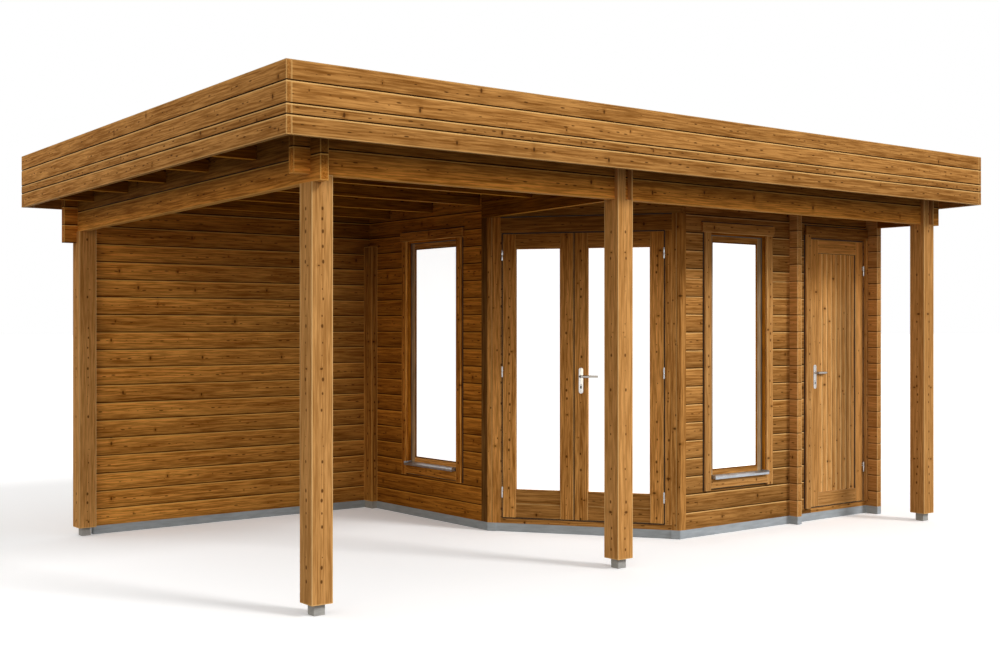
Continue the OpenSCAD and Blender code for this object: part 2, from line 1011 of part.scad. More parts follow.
module window_casings() {
    color(wood) {
        on_window_wall()
            casing(side_window_c, side_window_w);
        on_front_wall()
            casing(front_window_c, front_window_w);
    }
}

// Lining of the opening with the fixed sash in it
module sash(c, w) {
    half = hole_half(w);
    z0 = window_hole_z;
    z1 = window_hole_top;
    inner = lining_t + sash_w;
    back = sash_in + sash_t;
    difference() {
        block([c - half, 0, z0], [c + half, back, z1]);
        block([c - half + lining_t, -past, z0 + lining_t], [c + half - lining_t, sash_in, z1 - lining_t]);
        block([c - half + inner, -past, z0 + inner], [c + half - inner, back + past, z1 - inner]);
    }
}

module window_sashes() {
    color(dark_wood) {
        on_window_wall()
            sash(side_window_c, side_window_w);
        on_front_wall()
            sash(front_window_c, front_window_w);
    }
}

module pane(c, w) {
    edge = lining_t + sash_w;
    half = hole_half(w) - edge;
    y = sash_in + (sash_t - glass_t) / 2;
    block([c - half, y, window_hole_z + edge], [c + half, y + glass_t, window_hole_top - edge]);
}

module window_glass() {
    color([0.85, 0.9, 0.92]) {
        on_window_wall()
            pane(side_window_c, side_window_w);
        on_front_wall()
            pane(front_window_c, front_window_w);
    }
}

// Sloping sill on the lining, with a lip turned down in front of the bottom casing board
module sill(c, w) {
    half = hole_half(w) - lining_t;
    z = window_hole_z + lining_t;
    lip = -casing_t - sill_out;
    along_x(c - half, c + half, [
        [sash_in, z],
        [sash_in, z + sill_rise],
        [lip, z + sill_t],
        [lip, z - sill_lip],
        [lip + sill_t, z - sill_lip],
        [lip + sill_t, z]
    ]);
}

module window_sills() {
    color(steel_grey) {
        on_window_wall()
            sill(side_window_c, side_window_w);
        on_front_wall()
            sill(front_window_c, front_window_w);
    }
}

// ---- hinges ----

// Heights of the lower ends of a door's hinges
function hinge_heights() =
    let (foot_z = leaf_z0 + leaf_gap)
    [foot_z + hinge_low, foot_z + leaf_h / 2, foot_z + leaf_h - hinge_high];

// Knuckle on the pin and the lug that holds it; side is +1 where the lug lies to its right
module hinge_half(x, side, z, reach) {
    lug_w = knuckle_r + lug_out;
    lug_x = knuckle_r - lug_in;
    translate([x, leaf_recess - pin_out, z]) {
        cylinder(r = knuckle_r, h = knuckle_l);
        translate([side > 0 ? 0 : -lug_w, 0, 0])
            cube([lug_w, plate_t, knuckle_l]);
        translate([side > 0 ? lug_x : -lug_w, 0, 0])
            cube([lug_w - lug_x, reach, knuckle_l]);
    }
}

module moving_hinge(x, side) {
    for (z = hinge_heights())
        hinge_half(x, side, z + knuckle_l + run, pin_out);
}

module fixed_hinge(x, side) {
    for (z = hinge_heights())
        hinge_half(x, side, z, pin_out - leaf_recess);
}

module left_leaf_hinges() {
    color(lever_colour)
        on_door_wall()
            moving_hinge(left_pin_x, 1);
}

module fixed_hinges() {
    color(lever_colour) {
        on_door_wall() {
            fixed_hinge(left_pin_x, -1);
            fixed_hinge(right_pin_x, 1);
        }
        on_front_wall()
            fixed_hinge(storage_pin_x, 1);
    }
}

// ---- handles ----

module spindle_hole(x) {
    translate([x, leaf_recess - past, lever_z])
        rotate([-90, 0, 0])
            cylinder(r = spindle_r + fit, h = leaf_t + 2 * past);
}

// A long plate on each face of a leaf
module handle_plates(x) {
    z = lever_z - handle_plate_h * plate_share;
    difference() {
        for (y = [leaf_recess - plate_t, leaf_recess + leaf_t])
            block([x - handle_plate_w / 2, y, z],
                [x + handle_plate_w / 2, y + plate_t, z + handle_plate_h]);
        spindle_hole(x);
    }
}

// Spindle with a lever at each end
module levers(x) {
    inner_y = leaf_recess + leaf_t + lever_out;
    outer_y = leaf_recess - lever_out;
    translate([x, outer_y, lever_z])
        rotate([-90, 0, 0])
            cylinder(r = spindle_r, h = inner_y - outer_y);
    for (y = [outer_y, inner_y])
        translate([x, y, lever_z])
            rotate([0, 90, 0]) {
                sphere(r = lever_r);
                cylinder(r = lever_r, h = lever_l - lever_r);
                translate([0, 0, lever_l - lever_r])
                    sphere(r = lever_r);
            }
}

module right_leaf_fittings() {
    color(lever_colour)
        on_door_wall() {
            moving_hinge(right_pin_x, -1);
            handle_plates(right_lever_x);
        }
}

module storage_leaf_fittings() {
    color(lever_colour)
        on_front_wall() {
            moving_hinge(storage_pin_x, -1);
            handle_plates(storage_lever_x);
        }
}

module right_leaf_lever() {
    color(lever_colour)
        on_door_wall()
            levers(right_lever_x);
}

module storage_lever() {
    color(lever_colour)
        on_front_wall()
            levers(storage_lever_x);
}

post_feet();
long_bases();
cross_bases();
door_base();
front_left_post();
front_middle_post();
front_right_post();
back_left_post();
inner_corner_post();
front_beam();
left_beam();
cross_beams();
back_wall();
right_wall();
partition();
window_wall();
front_wall();
storage_lintel();
door_left_post();
door_right_post();
door_lintel();
door_frame();
storage_frame();
rafters();
roof_boards();
roofing_sheet();
front_fascia();
back_fascia();
left_fascia();
right_fascia();
window_casings();
window_sashes();
window_glass();
window_sills();
left_leaf();
left_leaf_glass();
left_leaf_hinges();
right_leaf();
right_leaf_glass();
right_leaf_fittings();
storage_leaf();
storage_leaf_fittings();
fixed_hinges();
right_leaf_lever();
storage_lever();
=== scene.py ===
"""Looks of a flat-roofed timber garden shed with a corner canopy."""

import logging
import math
from collections.abc import Callable
from dataclasses import dataclass, replace
from enum import Enum

import bpy
from mathutils import Matrix, Vector


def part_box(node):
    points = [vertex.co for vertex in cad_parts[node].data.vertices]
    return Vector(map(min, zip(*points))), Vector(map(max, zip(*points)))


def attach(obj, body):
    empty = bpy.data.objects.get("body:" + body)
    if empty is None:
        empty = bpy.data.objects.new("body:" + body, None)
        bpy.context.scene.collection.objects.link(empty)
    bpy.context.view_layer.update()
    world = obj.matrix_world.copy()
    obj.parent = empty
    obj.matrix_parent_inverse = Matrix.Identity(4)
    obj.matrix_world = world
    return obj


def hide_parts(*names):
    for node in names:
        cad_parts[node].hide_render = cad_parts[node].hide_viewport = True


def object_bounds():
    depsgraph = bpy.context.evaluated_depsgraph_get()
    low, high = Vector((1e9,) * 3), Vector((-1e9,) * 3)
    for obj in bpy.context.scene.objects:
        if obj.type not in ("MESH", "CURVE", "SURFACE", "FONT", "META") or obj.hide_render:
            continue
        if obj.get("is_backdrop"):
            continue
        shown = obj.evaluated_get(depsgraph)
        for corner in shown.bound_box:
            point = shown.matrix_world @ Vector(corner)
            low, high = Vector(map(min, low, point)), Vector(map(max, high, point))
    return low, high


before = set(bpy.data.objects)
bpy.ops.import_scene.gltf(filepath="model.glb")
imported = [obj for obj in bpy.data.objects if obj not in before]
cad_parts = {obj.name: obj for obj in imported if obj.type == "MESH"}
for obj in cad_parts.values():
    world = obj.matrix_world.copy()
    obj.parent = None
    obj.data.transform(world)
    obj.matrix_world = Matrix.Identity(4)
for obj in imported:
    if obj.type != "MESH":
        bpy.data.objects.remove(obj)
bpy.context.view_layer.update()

LOG = logging.getLogger("shed")

Triple = tuple[float, float, float]
Pair = tuple[float, float]
Piece = bpy.types.Object
Material = bpy.types.Material

X: Triple = (1, 0, 0)
Y: Triple = (0, 1, 0)
Z: Triple = (0, 0, 1)
WHITE: Triple = (1, 1, 1)


class Body(Enum):
    """The bodies that pieces ride on."""

    SHED = "shed"
    LEFT_DOOR = "left_door"
    RIGHT_DOOR = "right_door"
    RIGHT_LEVER = "right_door_lever"
    STORAGE_DOOR = "storage_door"
    STORAGE_LEVER = "storage_door_lever"


class Slot(Enum):
    """Names of the finishes, handed to the pieces but not used."""

    TIMBER = "timber"
    DARK_TIMBER = "dark_timber"
    STEEL = "satin_steel"
    ROOF = "roof_sheet"
    SILL = "sill_metal"


def math_node(operation: str) -> Callable[..., "Value"]:
    """Makes a method that adds a Math node.

    Args:
        operation: the node's operation.

    Returns:
        The method, which takes the node's other inputs.
    """

    def method(self: "Value", *others: "Value | float") -> "Value":
        """Adds the node and returns its result."""
        return self.graph.node("Math", (self, *others), operation=operation)

    return method


class Value:
    """A node's output, with operators and methods that add further nodes."""

    def __init__(self, graph: "Graph", socket: bpy.types.NodeSocket) -> None:
        """Keeps the output and the node tree it is in."""
        self.graph = graph
        self.socket = socket

    __add__, __sub__ = math_node("ADD"), math_node("SUBTRACT")
    __mul__, __truediv__ = math_node("MULTIPLY"), math_node("DIVIDE")
    __gt__, __lt__ = math_node("GREATER_THAN"), math_node("LESS_THAN")
    __abs__, floor, sine = math_node("ABSOLUTE"), math_node("FLOOR"), math_node("SINE")
    larger, smaller = math_node("MAXIMUM"), math_node("MINIMUM")
    times_plus = math_node("MULTIPLY_ADD")

    def vector(self, operation: str, other: Triple = (0, 0, 0)) -> "Value":
        """Adds a Vector Math node, which gives a number for DOT_PRODUCT and LENGTH."""
        number = operation in ("DOT_PRODUCT", "LENGTH")
        return self.graph.node("VectorMath", (self, other), int(number), operation=operation)

    def ramp(self, low: float, high: float, to_low: float = 0, to_high: float = 1) -> "Value":
        """Stretches a number from one range to another with soft ends.

        Args:
            low: start of the range it comes from.
            high: end of that range.
            to_low: result at low.
            to_high: result at high.

        Returns:
            The result.
        """
        inputs = (self, low, high, to_low, to_high)
        return self.graph.node("MapRange", inputs, interpolation_type="SMOOTHSTEP")

    def dice(self) -> list["Value"]:
        """Draws from one number.

        Returns:
            Three random numbers, 0 to 1.
        """
        colour = self.graph.node("TexWhiteNoise", {"W": self}, "Color", noise_dimensions="1D")
        parts = self.graph.node("SeparateColor", (colour,))
        return [Value(self.graph, socket) for socket in parts.socket.node.outputs]


class Graph:
    """The node tree of a material or of the world."""

    def __init__(self, owner: Material | bpy.types.World, shader: str = "Principled BSDF") -> None:
        """Starts from the owner's own shader.

        Args:
            owner: the material or the world.
            shader: the name of its shader's node.
        """
        owner.use_nodes = True
        self.owner = owner
        self.tree = owner.node_tree
        self.shader = self.tree.nodes[shader]

    def feed(self, target: bpy.types.NodeSocket, value: Value | float | Triple) -> None:
        """Links a value to an input, or writes a constant there.

        Args:
            target: the input.
            value: another node's output, or a number or triple.
        """
        if isinstance(value, Value):
            self.tree.links.new(value.socket, target)
        else:
            target.default_value = (*value, 1) if target.type == "RGBA" else value

    def shade(self, inputs: dict[str, Value | float | Triple]) -> None:
        """Feeds the shader's inputs by name."""
        for name, value in inputs.items():
            self.feed(self.shader.inputs[name], value)

    def node(self, kind: str, inputs: tuple | dict, out: int | str = 0, **settings: str) -> Value:
        """Adds a node.

        Args:
            kind: its type, without ShaderNode.
            inputs: its inputs, in order or by name.
            out: the wanted output.
            **settings: the node's properties.

        Returns:
            The output.
        """
        node = self.tree.nodes.new(f"ShaderNode{kind}")
        for name, setting in settings.items():
            setattr(node, name, setting)
        for key, value in inputs.items() if isinstance(inputs, dict) else enumerate(inputs):
            self.feed(node.inputs[key], value)
        return Value(self, node.outputs[out])

    def combine(self, *numbers: Value | float) -> Value:
        """Three numbers as a vector."""
        return self.node("CombineXYZ", numbers)

    def noise(self, at: Value, often: Triple, detail: float, rough: float = 0.5, fold: float = 0) -> Value:
        """Noise of about 0.2 to 0.8.

        Args:
            at: where the noise is read.
            often: how often it changes each way, per metre.
            detail: number of octaves.
            rough: strength of the finer octaves.
            fold: how far the noise folds itself.

        Returns:
            The noise's value.
        """
        inputs = {"Vector": at.vector("MULTIPLY", often), "Scale": 1, "Detail": detail}
        return self.node("TexNoise", {**inputs, "Roughness": rough, "Distortion": fold})

    def mix(self, share: Value | float, a: Value | Triple, b: Value | Triple, blend: str = "MIX") -> Value:
        """Mixes two colours, with a share of the second."""
        return self.node("Mix", {0: share, 6: a, 7: b}, 2, data_type="RGBA", blend_type=blend)

    def scale(self, colour: Value, factor: Value) -> Value:
        """A colour made lighter or darker."""
        return self.mix(1, colour, self.combine(factor, factor, factor), "MULTIPLY")

    def place(self) -> Value:
        """Object coordinates, in metres of the part's frame."""
        return self.node("TexCoord", (), "Object")

    def facing(self, way: Triple) -> Value:
        """How squarely a face looks along a direction, 0 to 1."""
        return abs(self.node("TexCoord", (), "Normal").vector("DOT_PRODUCT", way))

    def bump(self, height: Value, distance: float, strength: float = 1) -> None:
        """Feeds the shader's normal with a height, of a given distance in metres for 1."""
        inputs = {"Strength": strength, "Distance": distance, "Height": height}
        self.shade({"Normal": self.node("Bump", inputs)})

    def seen(self) -> Value:
        """Tells what the camera sees from what only lights the scene.

        Returns:
            1 for what it sees, also through glass or in a shiny face, and 0 for the rest.
        """
        rays = self.node("LightPath", ()).socket.node.outputs
        camera, glossy, passing = (Value(self, rays[f"Is {kind} Ray"])
                                   for kind in ("Camera", "Glossy", "Transmission"))
        return camera.larger(glossy).larger(passing)


@dataclass(frozen=True)
class Courses:
    """Boards of one height, counted from a first joint."""

    start: float  # height of the first joint
    pitch: float  # height of a board
    cut_at: float = 99  # height from which the boards are shifted by a cut course
    cut_by: float = 0  # how much height the cut course lacks

    def index(self, across: Value) -> tuple[Value, Value, Value]:
        """Numbers the boards.

        Args:
            across: coordinate across the boards.

        Returns:
            The board's number, and the distances to its lower and upper joints.
        """
        if self.cut_by:
            across = (across > self.cut_at).times_plus(self.cut_by, across)
        steps = (across - self.start) / self.pitch
        number = steps.floor()
        above = (steps - number) * self.pitch
        return number, above, above.times_plus(-1, self.pitch)


@dataclass(frozen=True)
class Edges:
    """Boards between given heights, which rise and include the outermost edges."""

    at: tuple[float, ...]

    def index(self, across: Value) -> tuple[Value, Value, Value]:
        """Numbers the boards.

        Args:
            across: coordinate across the boards.

        Returns:
            The board's number, and the distances to its lower and upper edges.
        """
        far = 9
        low, *inner, high = self.at
        number = across * 0
        for edge in inner:
            over = across > edge
            number = number + over
            low = over.times_plus(edge + far, -far).larger(low)
            high = over.times_plus(far * 11, edge).smaller(high)
        return number, across - low, across.times_plus(-1, high)


@dataclass(frozen=True)
class Stain:
    """Colours of one stained softwood, set for the light where it stands: copies of the same stain as
    painted light and shade.
    """

    pale: Triple  # the wood between the dark grain
    deep: Triple  # the dark grain
    knot: Triple
    worn_and_lit: Triple  # paler edges: partly wear where the stain is thin, partly painted highlight


# The same stain painted for different light: the first as in open light, the others darker and redder as
# painted shade in the porch, under the canopy and the roof, and in the nook.
OPEN_LIGHT = Stain((0.625, 0.315, 0.1), (0.4, 0.172, 0.04), (0.11, 0.038, 0.008), (0.84, 0.54, 0.23))
PORCH_SHADE = Stain((0.66, 0.315, 0.086), (0.29, 0.106, 0.016), (0.1, 0.034, 0.006), (0.86, 0.53, 0.2))
SHELTERED_SHADE = Stain((0.66, 0.3, 0.062), (0.27, 0.088, 0.01), (0.09, 0.027, 0.004), (0.9, 0.5, 0.13))
BEAM_SHADE = Stain((0.66, 0.27, 0.046), (0.25, 0.076, 0.007), (0.08, 0.022, 0.003), (0.92, 0.52, 0.14))
DIM_SHADE = Stain((0.52, 0.188, 0.014), (0.19, 0.048, 0.002), (0.06, 0.015, 0.001), (0.72, 0.3, 0.03))
NOOK_SHADE = Stain((0.545, 0.207, 0.027), (0.207, 0.061, 0.005), (0.06, 0.016, 0.002), (0.74, 0.33, 0.05))
GREYED = Stain((0.5, 0.33, 0.18), (0.26, 0.16, 0.08), (0.12, 0.06, 0.03), (0.58, 0.42, 0.26))


@dataclass(frozen=True)
class Knots:
    """A row of knots along a board's heart."""

    spacing: float  # length of board for each knot
    size: float  # half width of the largest knot
    stretch: float  # how much longer than wide a knot is
    spread: float  # width of the strip that the knots lie in
    share: float  # share of the places that hold a knot

    def near(self, along: Value, off: Value, number: Value, seed: float) -> Value:
        """Distance to the nearest knot.

        Args:
            along: coordinate along the grain.
            off: distance from the board's middle.
            number: the board's number.
            seed: shifts the pattern.

        Returns:
            The distance as a share of the knot's half width.
        """
        steps = number.times_plus(7.31, along.times_plus(1 / self.spacing, seed))
        cell = steps.floor()
        one, two, three = number.times_plus(91.7, cell.times_plus(3.17, seed)).dice()
        way = (steps - cell - one.times_plus(0.4, 0.3)) * (self.spacing / self.stretch)
        side = (two - 0.5).times_plus(self.spread, off)
        half = three.ramp(1 - self.share, 1, 0, self.size) + 0.0001
        return along.graph.combine(way, side, 0).vector("LENGTH") / half


# How often the wood's patterns change along, across and through it, per metre
DRIFT: Triple = (0.7, 8, 8)
STREAKS: Triple = (5, 105, 105)
BANDS: Triple = (0.9, 30, 30)
CLOUD: Triple = (2.4, 5, 5)
RINGS = 150  # phase of the growth rings for a metre across

DOTS = Knots(0.064, 0.0076, 1.5, 0.01, 0.92)
DASHES = Knots(0.062, 0.0042, 4, 0.02, 0.85)
SPARSE = Knots(0.15, 0.0058, 1.5, 0.024, 0.7)
BRANCHES = Knots(0.5, 0.0165, 0.6, 0.05, 0.74)


@dataclass(frozen=True)
class Fade:
    """Painted light and shade: a slow change of colour over a wall or a beam."""

    way: Triple  # direction of the change
    span: Pair  # where it starts and ends
    start: Triple  # what the colour is multiplied by at its start
    end: Triple  # the same at its end

    @staticmethod
    def plain(way: Triple, span: Pair, start: float, end: float) -> "Fade":
        """A fade that changes the brightness alone."""
        return Fade(way, span, (start, start, start), (end, end, end))

    def paint(self, place: Value, colour: Value) -> Value:
        """Multiplies a colour by the fade at a place."""
        share = place.vector("DOT_PRODUCT", self.way).ramp(*self.span)
        return place.graph.mix(1, colour, place.graph.mix(share, self.start, self.end), "MULTIPLY")


@dataclass(frozen=True)
class Wood:
    """Stained softwood with grain, knots, paler eased edges and joints between boards, with painted light
    and shade on it.
    """

    along: Triple  # direction of the grain
    across: Triple  # direction across the boards' faces
    boards: Courses | Edges
    stain: Stain = OPEN_LIGHT
    tone: float = 1  # brightness against the plain stain, set per part, partly as painted light and shade
    seed: float = 0  # shifts the pattern
    groove: float = 0  # half width of the dark joints, 0 for none
    thick: Pair | None = None  # the wood's extent at right angles to along and across
    length: Pair | None = None  # the wood's extent along the grain, for its worn ends
    specks: Knots = DASHES  # the small knots
    cracks: float = 0.12  # how much of the colour the dark of a joint keeps
    lip: float = 0.8  # painted highlight on a board's upper edge, under the joint above
    curve: float = 0.24  # painted shade: how much each board darkens towards its lower edge
    # painted light and shade over the part
    fades: tuple[Fade, ...] = ()
    under: float = 0  # painted light: how far the lower and upper faces take the paler edge colour
    rims: float = 0.6  # painted highlight on the outer edges, partly also wear: how pale they are

    def rim(self, along: Value, across: Value, deep: Value) -> Value | None:
        """Finds the outer edges, which take the painted highlight.

        Args:
            along: coordinate along the grain.
            across: coordinate across the boards.
            deep: coordinate through the wood.

        Returns:
            1 on the edges and 0 elsewhere, or None if the extents aren't given.
        """
        spans = [(deep, self.thick), (along, self.length)]
        if isinstance(self.boards, Edges):
            spans.append((across, (self.boards.at[0], self.boards.at[-1])))
        near = []
        for at, (low, high) in (span for span in spans if span[1]):
            half = (high - low) / 2
            near.append(abs(at - (low + high) / 2).ramp(half - 0.0062, half - 0.0035))
        return sum(near[1:], near[0]).ramp(1.25, 1.9) if len(near) > 1 else None

    def joints(self, colour: Value, across: Value, above: Value, below: Value) -> Value:
        """Draws the dark joints and the painted highlight on the lips under them.

        Args:
            colour: the wood's colour.
            across: coordinate across the boards.
            above: distance to the board's lower joint.
            below: distance to its upper joint.

        Returns:
            The new colour.
        """
        g, half = colour.graph, self.groove
        flat = g.facing(self.across) < 0.8
        if isinstance(self.boards, Edges):
            for edge in (self.boards.at[0], self.boards.at[-1]):
                flat = flat * (abs(across - edge) > half * 2.5)
        # Painted highlight on the lip under each joint.
        lip = below.ramp(half * 0.4, half * 0.9) * below.ramp(half * 1.5, half * 2.3, 1, 0)
        colour = g.mix(lip * flat * self.lip, colour, self.stain.worn_and_lit)
        dark = above.ramp(half * 0.7, half * 1.35, 1, 0).larger(below.ramp(half * 0.1, half * 0.5, 1, 0))
        return g.scale(colour, (dark * flat).times_plus(self.cracks - 1, 1))

    def material(self, name: str) -> Material:
        """Builds the node tree.

        Args:
            name: the material's name.

        Returns:
            The material.
        """
        g, stain = Graph(bpy.data.materials.new(name)), self.stain
        place = g.place()
        through = tuple(Vector(self.along).cross(Vector(self.across)))
        along, across, deep = (place.vector("DOT_PRODUCT", way)
                               for way in (self.along, self.across, through))
        number, above, below = self.boards.index(across)
        luck, luck_two, luck_three = (number + (self.seed + 0.37)).dice()
        off = (above - below) * 0.5
        if self.thick:
            sideways = g.facing(self.across) > 0.5
            turned = deep - sum(self.thick) / 2
            off = off * sideways.times_plus(-1, 1) + turned * sideways
        small = self.specks.near(along, off, number, self.seed)
        large = BRANCHES.near(along, off, number, self.seed + 13.1)
        halo = large.ramp(0.7, 3.4, 1, 0)
        point = g.combine(luck.times_plus(31, along), luck_two.times_plus(7, across), deep)
        # Growth rings stretched along the board and bent round the knots
        drift = g.noise(point, DRIFT, 2)
        phase = halo.times_plus(3.5, drift.times_plus(40, off * RINGS))
        rings = phase.sine().times_plus(0.5, 0.5)
        streaks = g.noise(point, STREAKS, 3, 0.65)
        bands = g.noise(point, BANDS, 3, 0.6, 0.5)
        cloud = g.noise(point, CLOUD, 2)
        pale = bands.ramp(0.34, 0.66).times_plus(0.34, rings * 0.14)
        pale = streaks.ramp(0.36, 0.64).times_plus(0.56, pale)
        colour = g.mix((cloud - 0.5).times_plus(0.6, pale), stain.deep, stain.pale)
        colour = g.scale(colour, streaks.ramp(0.34, 0.66, 0.91, 1.08))
        end = g.facing(self.along) > 0.8
        colour = g.mix(end * 0.35, colour, stain.deep)
        colour = g.mix(halo * 0.4, colour, stain.deep)
        marks = small.ramp(0.55, 1.15, 0.9, 0).larger(large.ramp(0.4, 1.1, 0.92, 0))
        colour = g.mix(marks * end.times_plus(-1, 1), colour, stain.knot)
        colour = g.scale(colour, luck_three.times_plus(0.2 * self.tone, 0.9 * self.tone))
        # Painted light and shade over the part.
        for fade in self.fades:
            colour = fade.paint(place, colour)
        # Painted shade: each board darker towards its lower edge and lighter at its top.
        if self.groove:
            share = above / (above + below)
            colour = g.scale(colour, share.ramp(0, 0.5, 1 - self.curve, 1))
            colour = g.scale(colour, share.ramp(0.6, 1, 1, 1 + self.curve * 0.7))
        # Painted light on the lower and upper faces.
        if self.under:
            colour = g.mix((g.facing(self.across) > 0.9) * self.under, colour, stain.worn_and_lit)
        # Painted highlight on the outer edges.
        rim = self.rim(along, across, deep)
        if rim:
            colour = g.mix(rim * self.rims, colour, stain.worn_and_lit)
        if self.groove:
            colour = self.joints(colour, across, above, below)
        roughness = streaks.ramp(0.2, 0.8, 0.78, 0.6)
        g.shade({"Base Color": colour, "Roughness": roughness, "Specular IOR Level": 0.03})
        g.bump(streaks * 0.7 + marks * -0.6, 0.0006, 0.7)
        return g.owner

    def materials(self, name: str) -> list[Material]:
        """Builds the finishes of a board.

        Args:
            name: the materials' name.

        Returns:
            The wood, and a paler copy for the eased edges: partly wear, partly painted highlight.
        """
        half = tuple((a + b) / 2 for a, b in zip(self.stain.pale, self.stain.deep))
        worn_and_lit = replace(self, stain=replace(self.stain, pale=self.stain.worn_and_lit, deep=half), groove=0)
        return [self.material(name), worn_and_lit.material(f"{name}_worn")]


@dataclass(frozen=True)
class Plain:
    """A mottled, slightly uneven finish for metal, glass, grey strips and roofing."""

    colour: Triple
    spread: float  # how far the colour wanders, as a share
    mottling: Triple  # how often it changes each way, per metre
    rough: Pair  # lowest and highest roughness
    metallic: float = 0
    relief: float = 0.0002  # depth of the bump in metres
    painted_glow: float = 0  # painted light: emission that keeps the panes white, also in shade

    def material(self, name: str) -> Material:
        """Builds the node tree.

        Args:
            name: the material's name.

        Returns:
            The material.
        """
        g = Graph(bpy.data.materials.new(name))
        mottle = g.noise(g.place(), self.mottling, 4, 0.6)
        low = tuple(c * (1 - self.spread) for c in self.colour)
        high = tuple(min(1, c * (1 + self.spread)) for c in self.colour)
        colour = g.mix(mottle.ramp(0.3, 0.7), low, high)
        rough = mottle.ramp(0.3, 0.7, *self.rough)
        g.shade({"Base Color": colour, "Roughness": rough, "Metallic": self.metallic})
        # Painted light: the pane shines though it is no lamp.
        if self.painted_glow:
            g.shade({"Emission Color": colour, "Emission Strength": self.painted_glow})
        g.bump(mottle, self.relief)
        return g.owner

    def materials(self, name: str) -> list[Material]:
        """The finish alone."""
        return [self.material(name)]


Finish = Wood | Plain

STEEL = Plain((0.7, 0.7, 0.685), 0.05, (300, 300, 40), (0.22, 0.38), 1, 0.00003)
HINGE_STEEL = replace(STEEL, colour=(0.5, 0.52, 0.54))
LEVER_STEEL = replace(STEEL, colour=(0.5, 0.49, 0.47))
# Painted shade: near-black discs and slots standing for the shade in screw holes and keyways.
KEYWAY_SHADE = Plain((0.03, 0.028, 0.025), 0.3, (400, 400, 400), (0.5, 0.7))
GREY = Plain((0.385, 0.42, 0.45), 0.12, (9, 9, 60), (0.6, 0.75))
FEET = Plain((0.4, 0.39, 0.365), 0.12, (30, 30, 60), (0.6, 0.75))
FELT = Plain((0.05, 0.05, 0.052), 0.25, (60, 60, 60), (0.8, 0.95), relief=0.0008)
# Painted light: white panes that shine of their own.
PANE = Plain((0.9, 0.92, 0.93), 0.01, (1, 1, 1), (0.04, 0.07), relief=0, painted_glow=0.95)
SILL = Plain((0.46, 0.49, 0.52), 0.08, (30, 30, 30), (0.35, 0.5), 1)
# Painted shade: near-black strips standing for the shade in gaps and beside boards; the door seals use them
# too.
SHADE_STRIP = Plain((0.022, 0.012, 0.006), 0.3, (90, 90, 90), (0.8, 0.95))
SEAL = Plain((0.13, 0.115, 0.09), 0.2, (90, 90, 20), (0.6, 0.8))


def select(*pieces: Piece) -> None:
    """Selects the given pieces alone and makes the first one active."""
    bpy.ops.object.select_all(action="DESELECT")
    for piece in pieces:
        piece.select_set(True)
    if pieces:
        bpy.context.view_layer.objects.active = pieces[0]


def settle(coats: list[Material]) -> Piece:
    """Writes the active piece's place, turn and scale into its mesh.

    Args:
        coats: finishes that are added to it.

    Returns:
        The piece.
    """
    bpy.ops.object.transform_apply(location=True, rotation=True, scale=True)
    for coat in coats:
        bpy.context.object.data.materials.append(coat)
    return bpy.context.object


def pick(piece: Piece, wanted: Callable[[Vector, Vector], bool], faces: bool = False) -> None:
    """Enters edit mode with the wanted edges or faces selected.

    Args:
        piece: the piece.
        wanted: tells it from an edge's two ends, or from a face's middle and normal.
        faces: whether faces are meant.
    """
    bpy.context.tool_settings.mesh_select_mode = (False, not faces, faces)
    mesh = piece.data
    for part in (mesh.vertices, mesh.edges, mesh.polygons):
        part.foreach_set("select", [False] * len(part))
    for face in mesh.polygons if faces else ():
        face.select = wanted(face.center, face.normal)
    for edge in () if faces else mesh.edges:
        edge.select = wanted(*(mesh.vertices[v].co for v in edge.vertices))
    bpy.ops.object.mode_set(mode="EDIT")


def leave() -> None:
    """Leaves edit mode."""
    bpy.ops.object.mode_set(mode="OBJECT")


def ease(piece: Piece, wanted: Callable[[Vector, Vector], bool], width: float, segments: int = 2,
         coat: int = -1) -> None:
    """Bevels edges.

    Args:
        piece: the piece.
        wanted: tells from an edge's two ends whether it is bevelled.
        width: the bevel's width.
        segments: the bevel's segments.
        coat: number of the bevel's finish, or -1 for that of its neighbours.
    """
    pick(piece, wanted)
    bpy.ops.mesh.bevel(offset=width, segments=segments, affect="EDGES", material=coat)
    leave()


def cube(low: Triple, high: Triple, coats: list[Material]) -> Piece:
    """Adds a box, from which a piece is shaped.

    Args:
        low: its lowest corner.
        high: its highest corner.
        coats: the finishes.

    Returns:
        The box.
    """
    select()
    low, high = Vector(low), Vector(high)
    bpy.ops.mesh.primitive_cube_add(size=1, location=(low + high) / 2, scale=high - low)
    return settle(coats)


@dataclass(frozen=True)
class Cut:
    """An eased board's place in its wall's own directions."""

    left: float
    right: float
    foot: float
    top: float
    deep: Pair  # front and back
    ease: float = 0.0018  # width of the eased edges

    def saw(self, coats: list[Material]) -> Piece:
        """Makes the board.

        Args:
            coats: the finishes, of which the eased edges take the second.

        Returns:
            The board.
        """
        low, high = (self.left, self.deep[0], self.foot), (self.right, self.deep[1], self.top)
        piece = cube(low, high, coats)
        ease(piece, lambda a, b: True, self.ease, coat=1)
        return piece


def rod(start: Triple, end: Triple, radius: float, coats: list[Material], rim: float = 0.0005) -> Piece:
    """A round rod with eased rims.

    Args:
        start: middle of one end.
        end: middle of the other.
        radius: its radius.
        coats: the finishes.
        rim: width of the eased rims.

    Returns:
        The rod.
    """
    select()
    start, end = Vector(start), Vector(end)
    run = end - start
    bpy.ops.mesh.primitive_cylinder_add(
        vertices=24, radius=radius, depth=run.length, location=(start + end) / 2,
        rotation=run.to_track_quat("Z", "Y").to_euler())
    piece = settle(coats)
    unit = run.normalized()
    ease(piece, lambda a, b: any(max(abs((at - middle).dot(unit)) for at in (a, b)) < 1e-5
                                 for middle in (start, end)), rim)
    bpy.ops.object.shade_smooth_by_angle(angle=math.radians(35))
    return piece


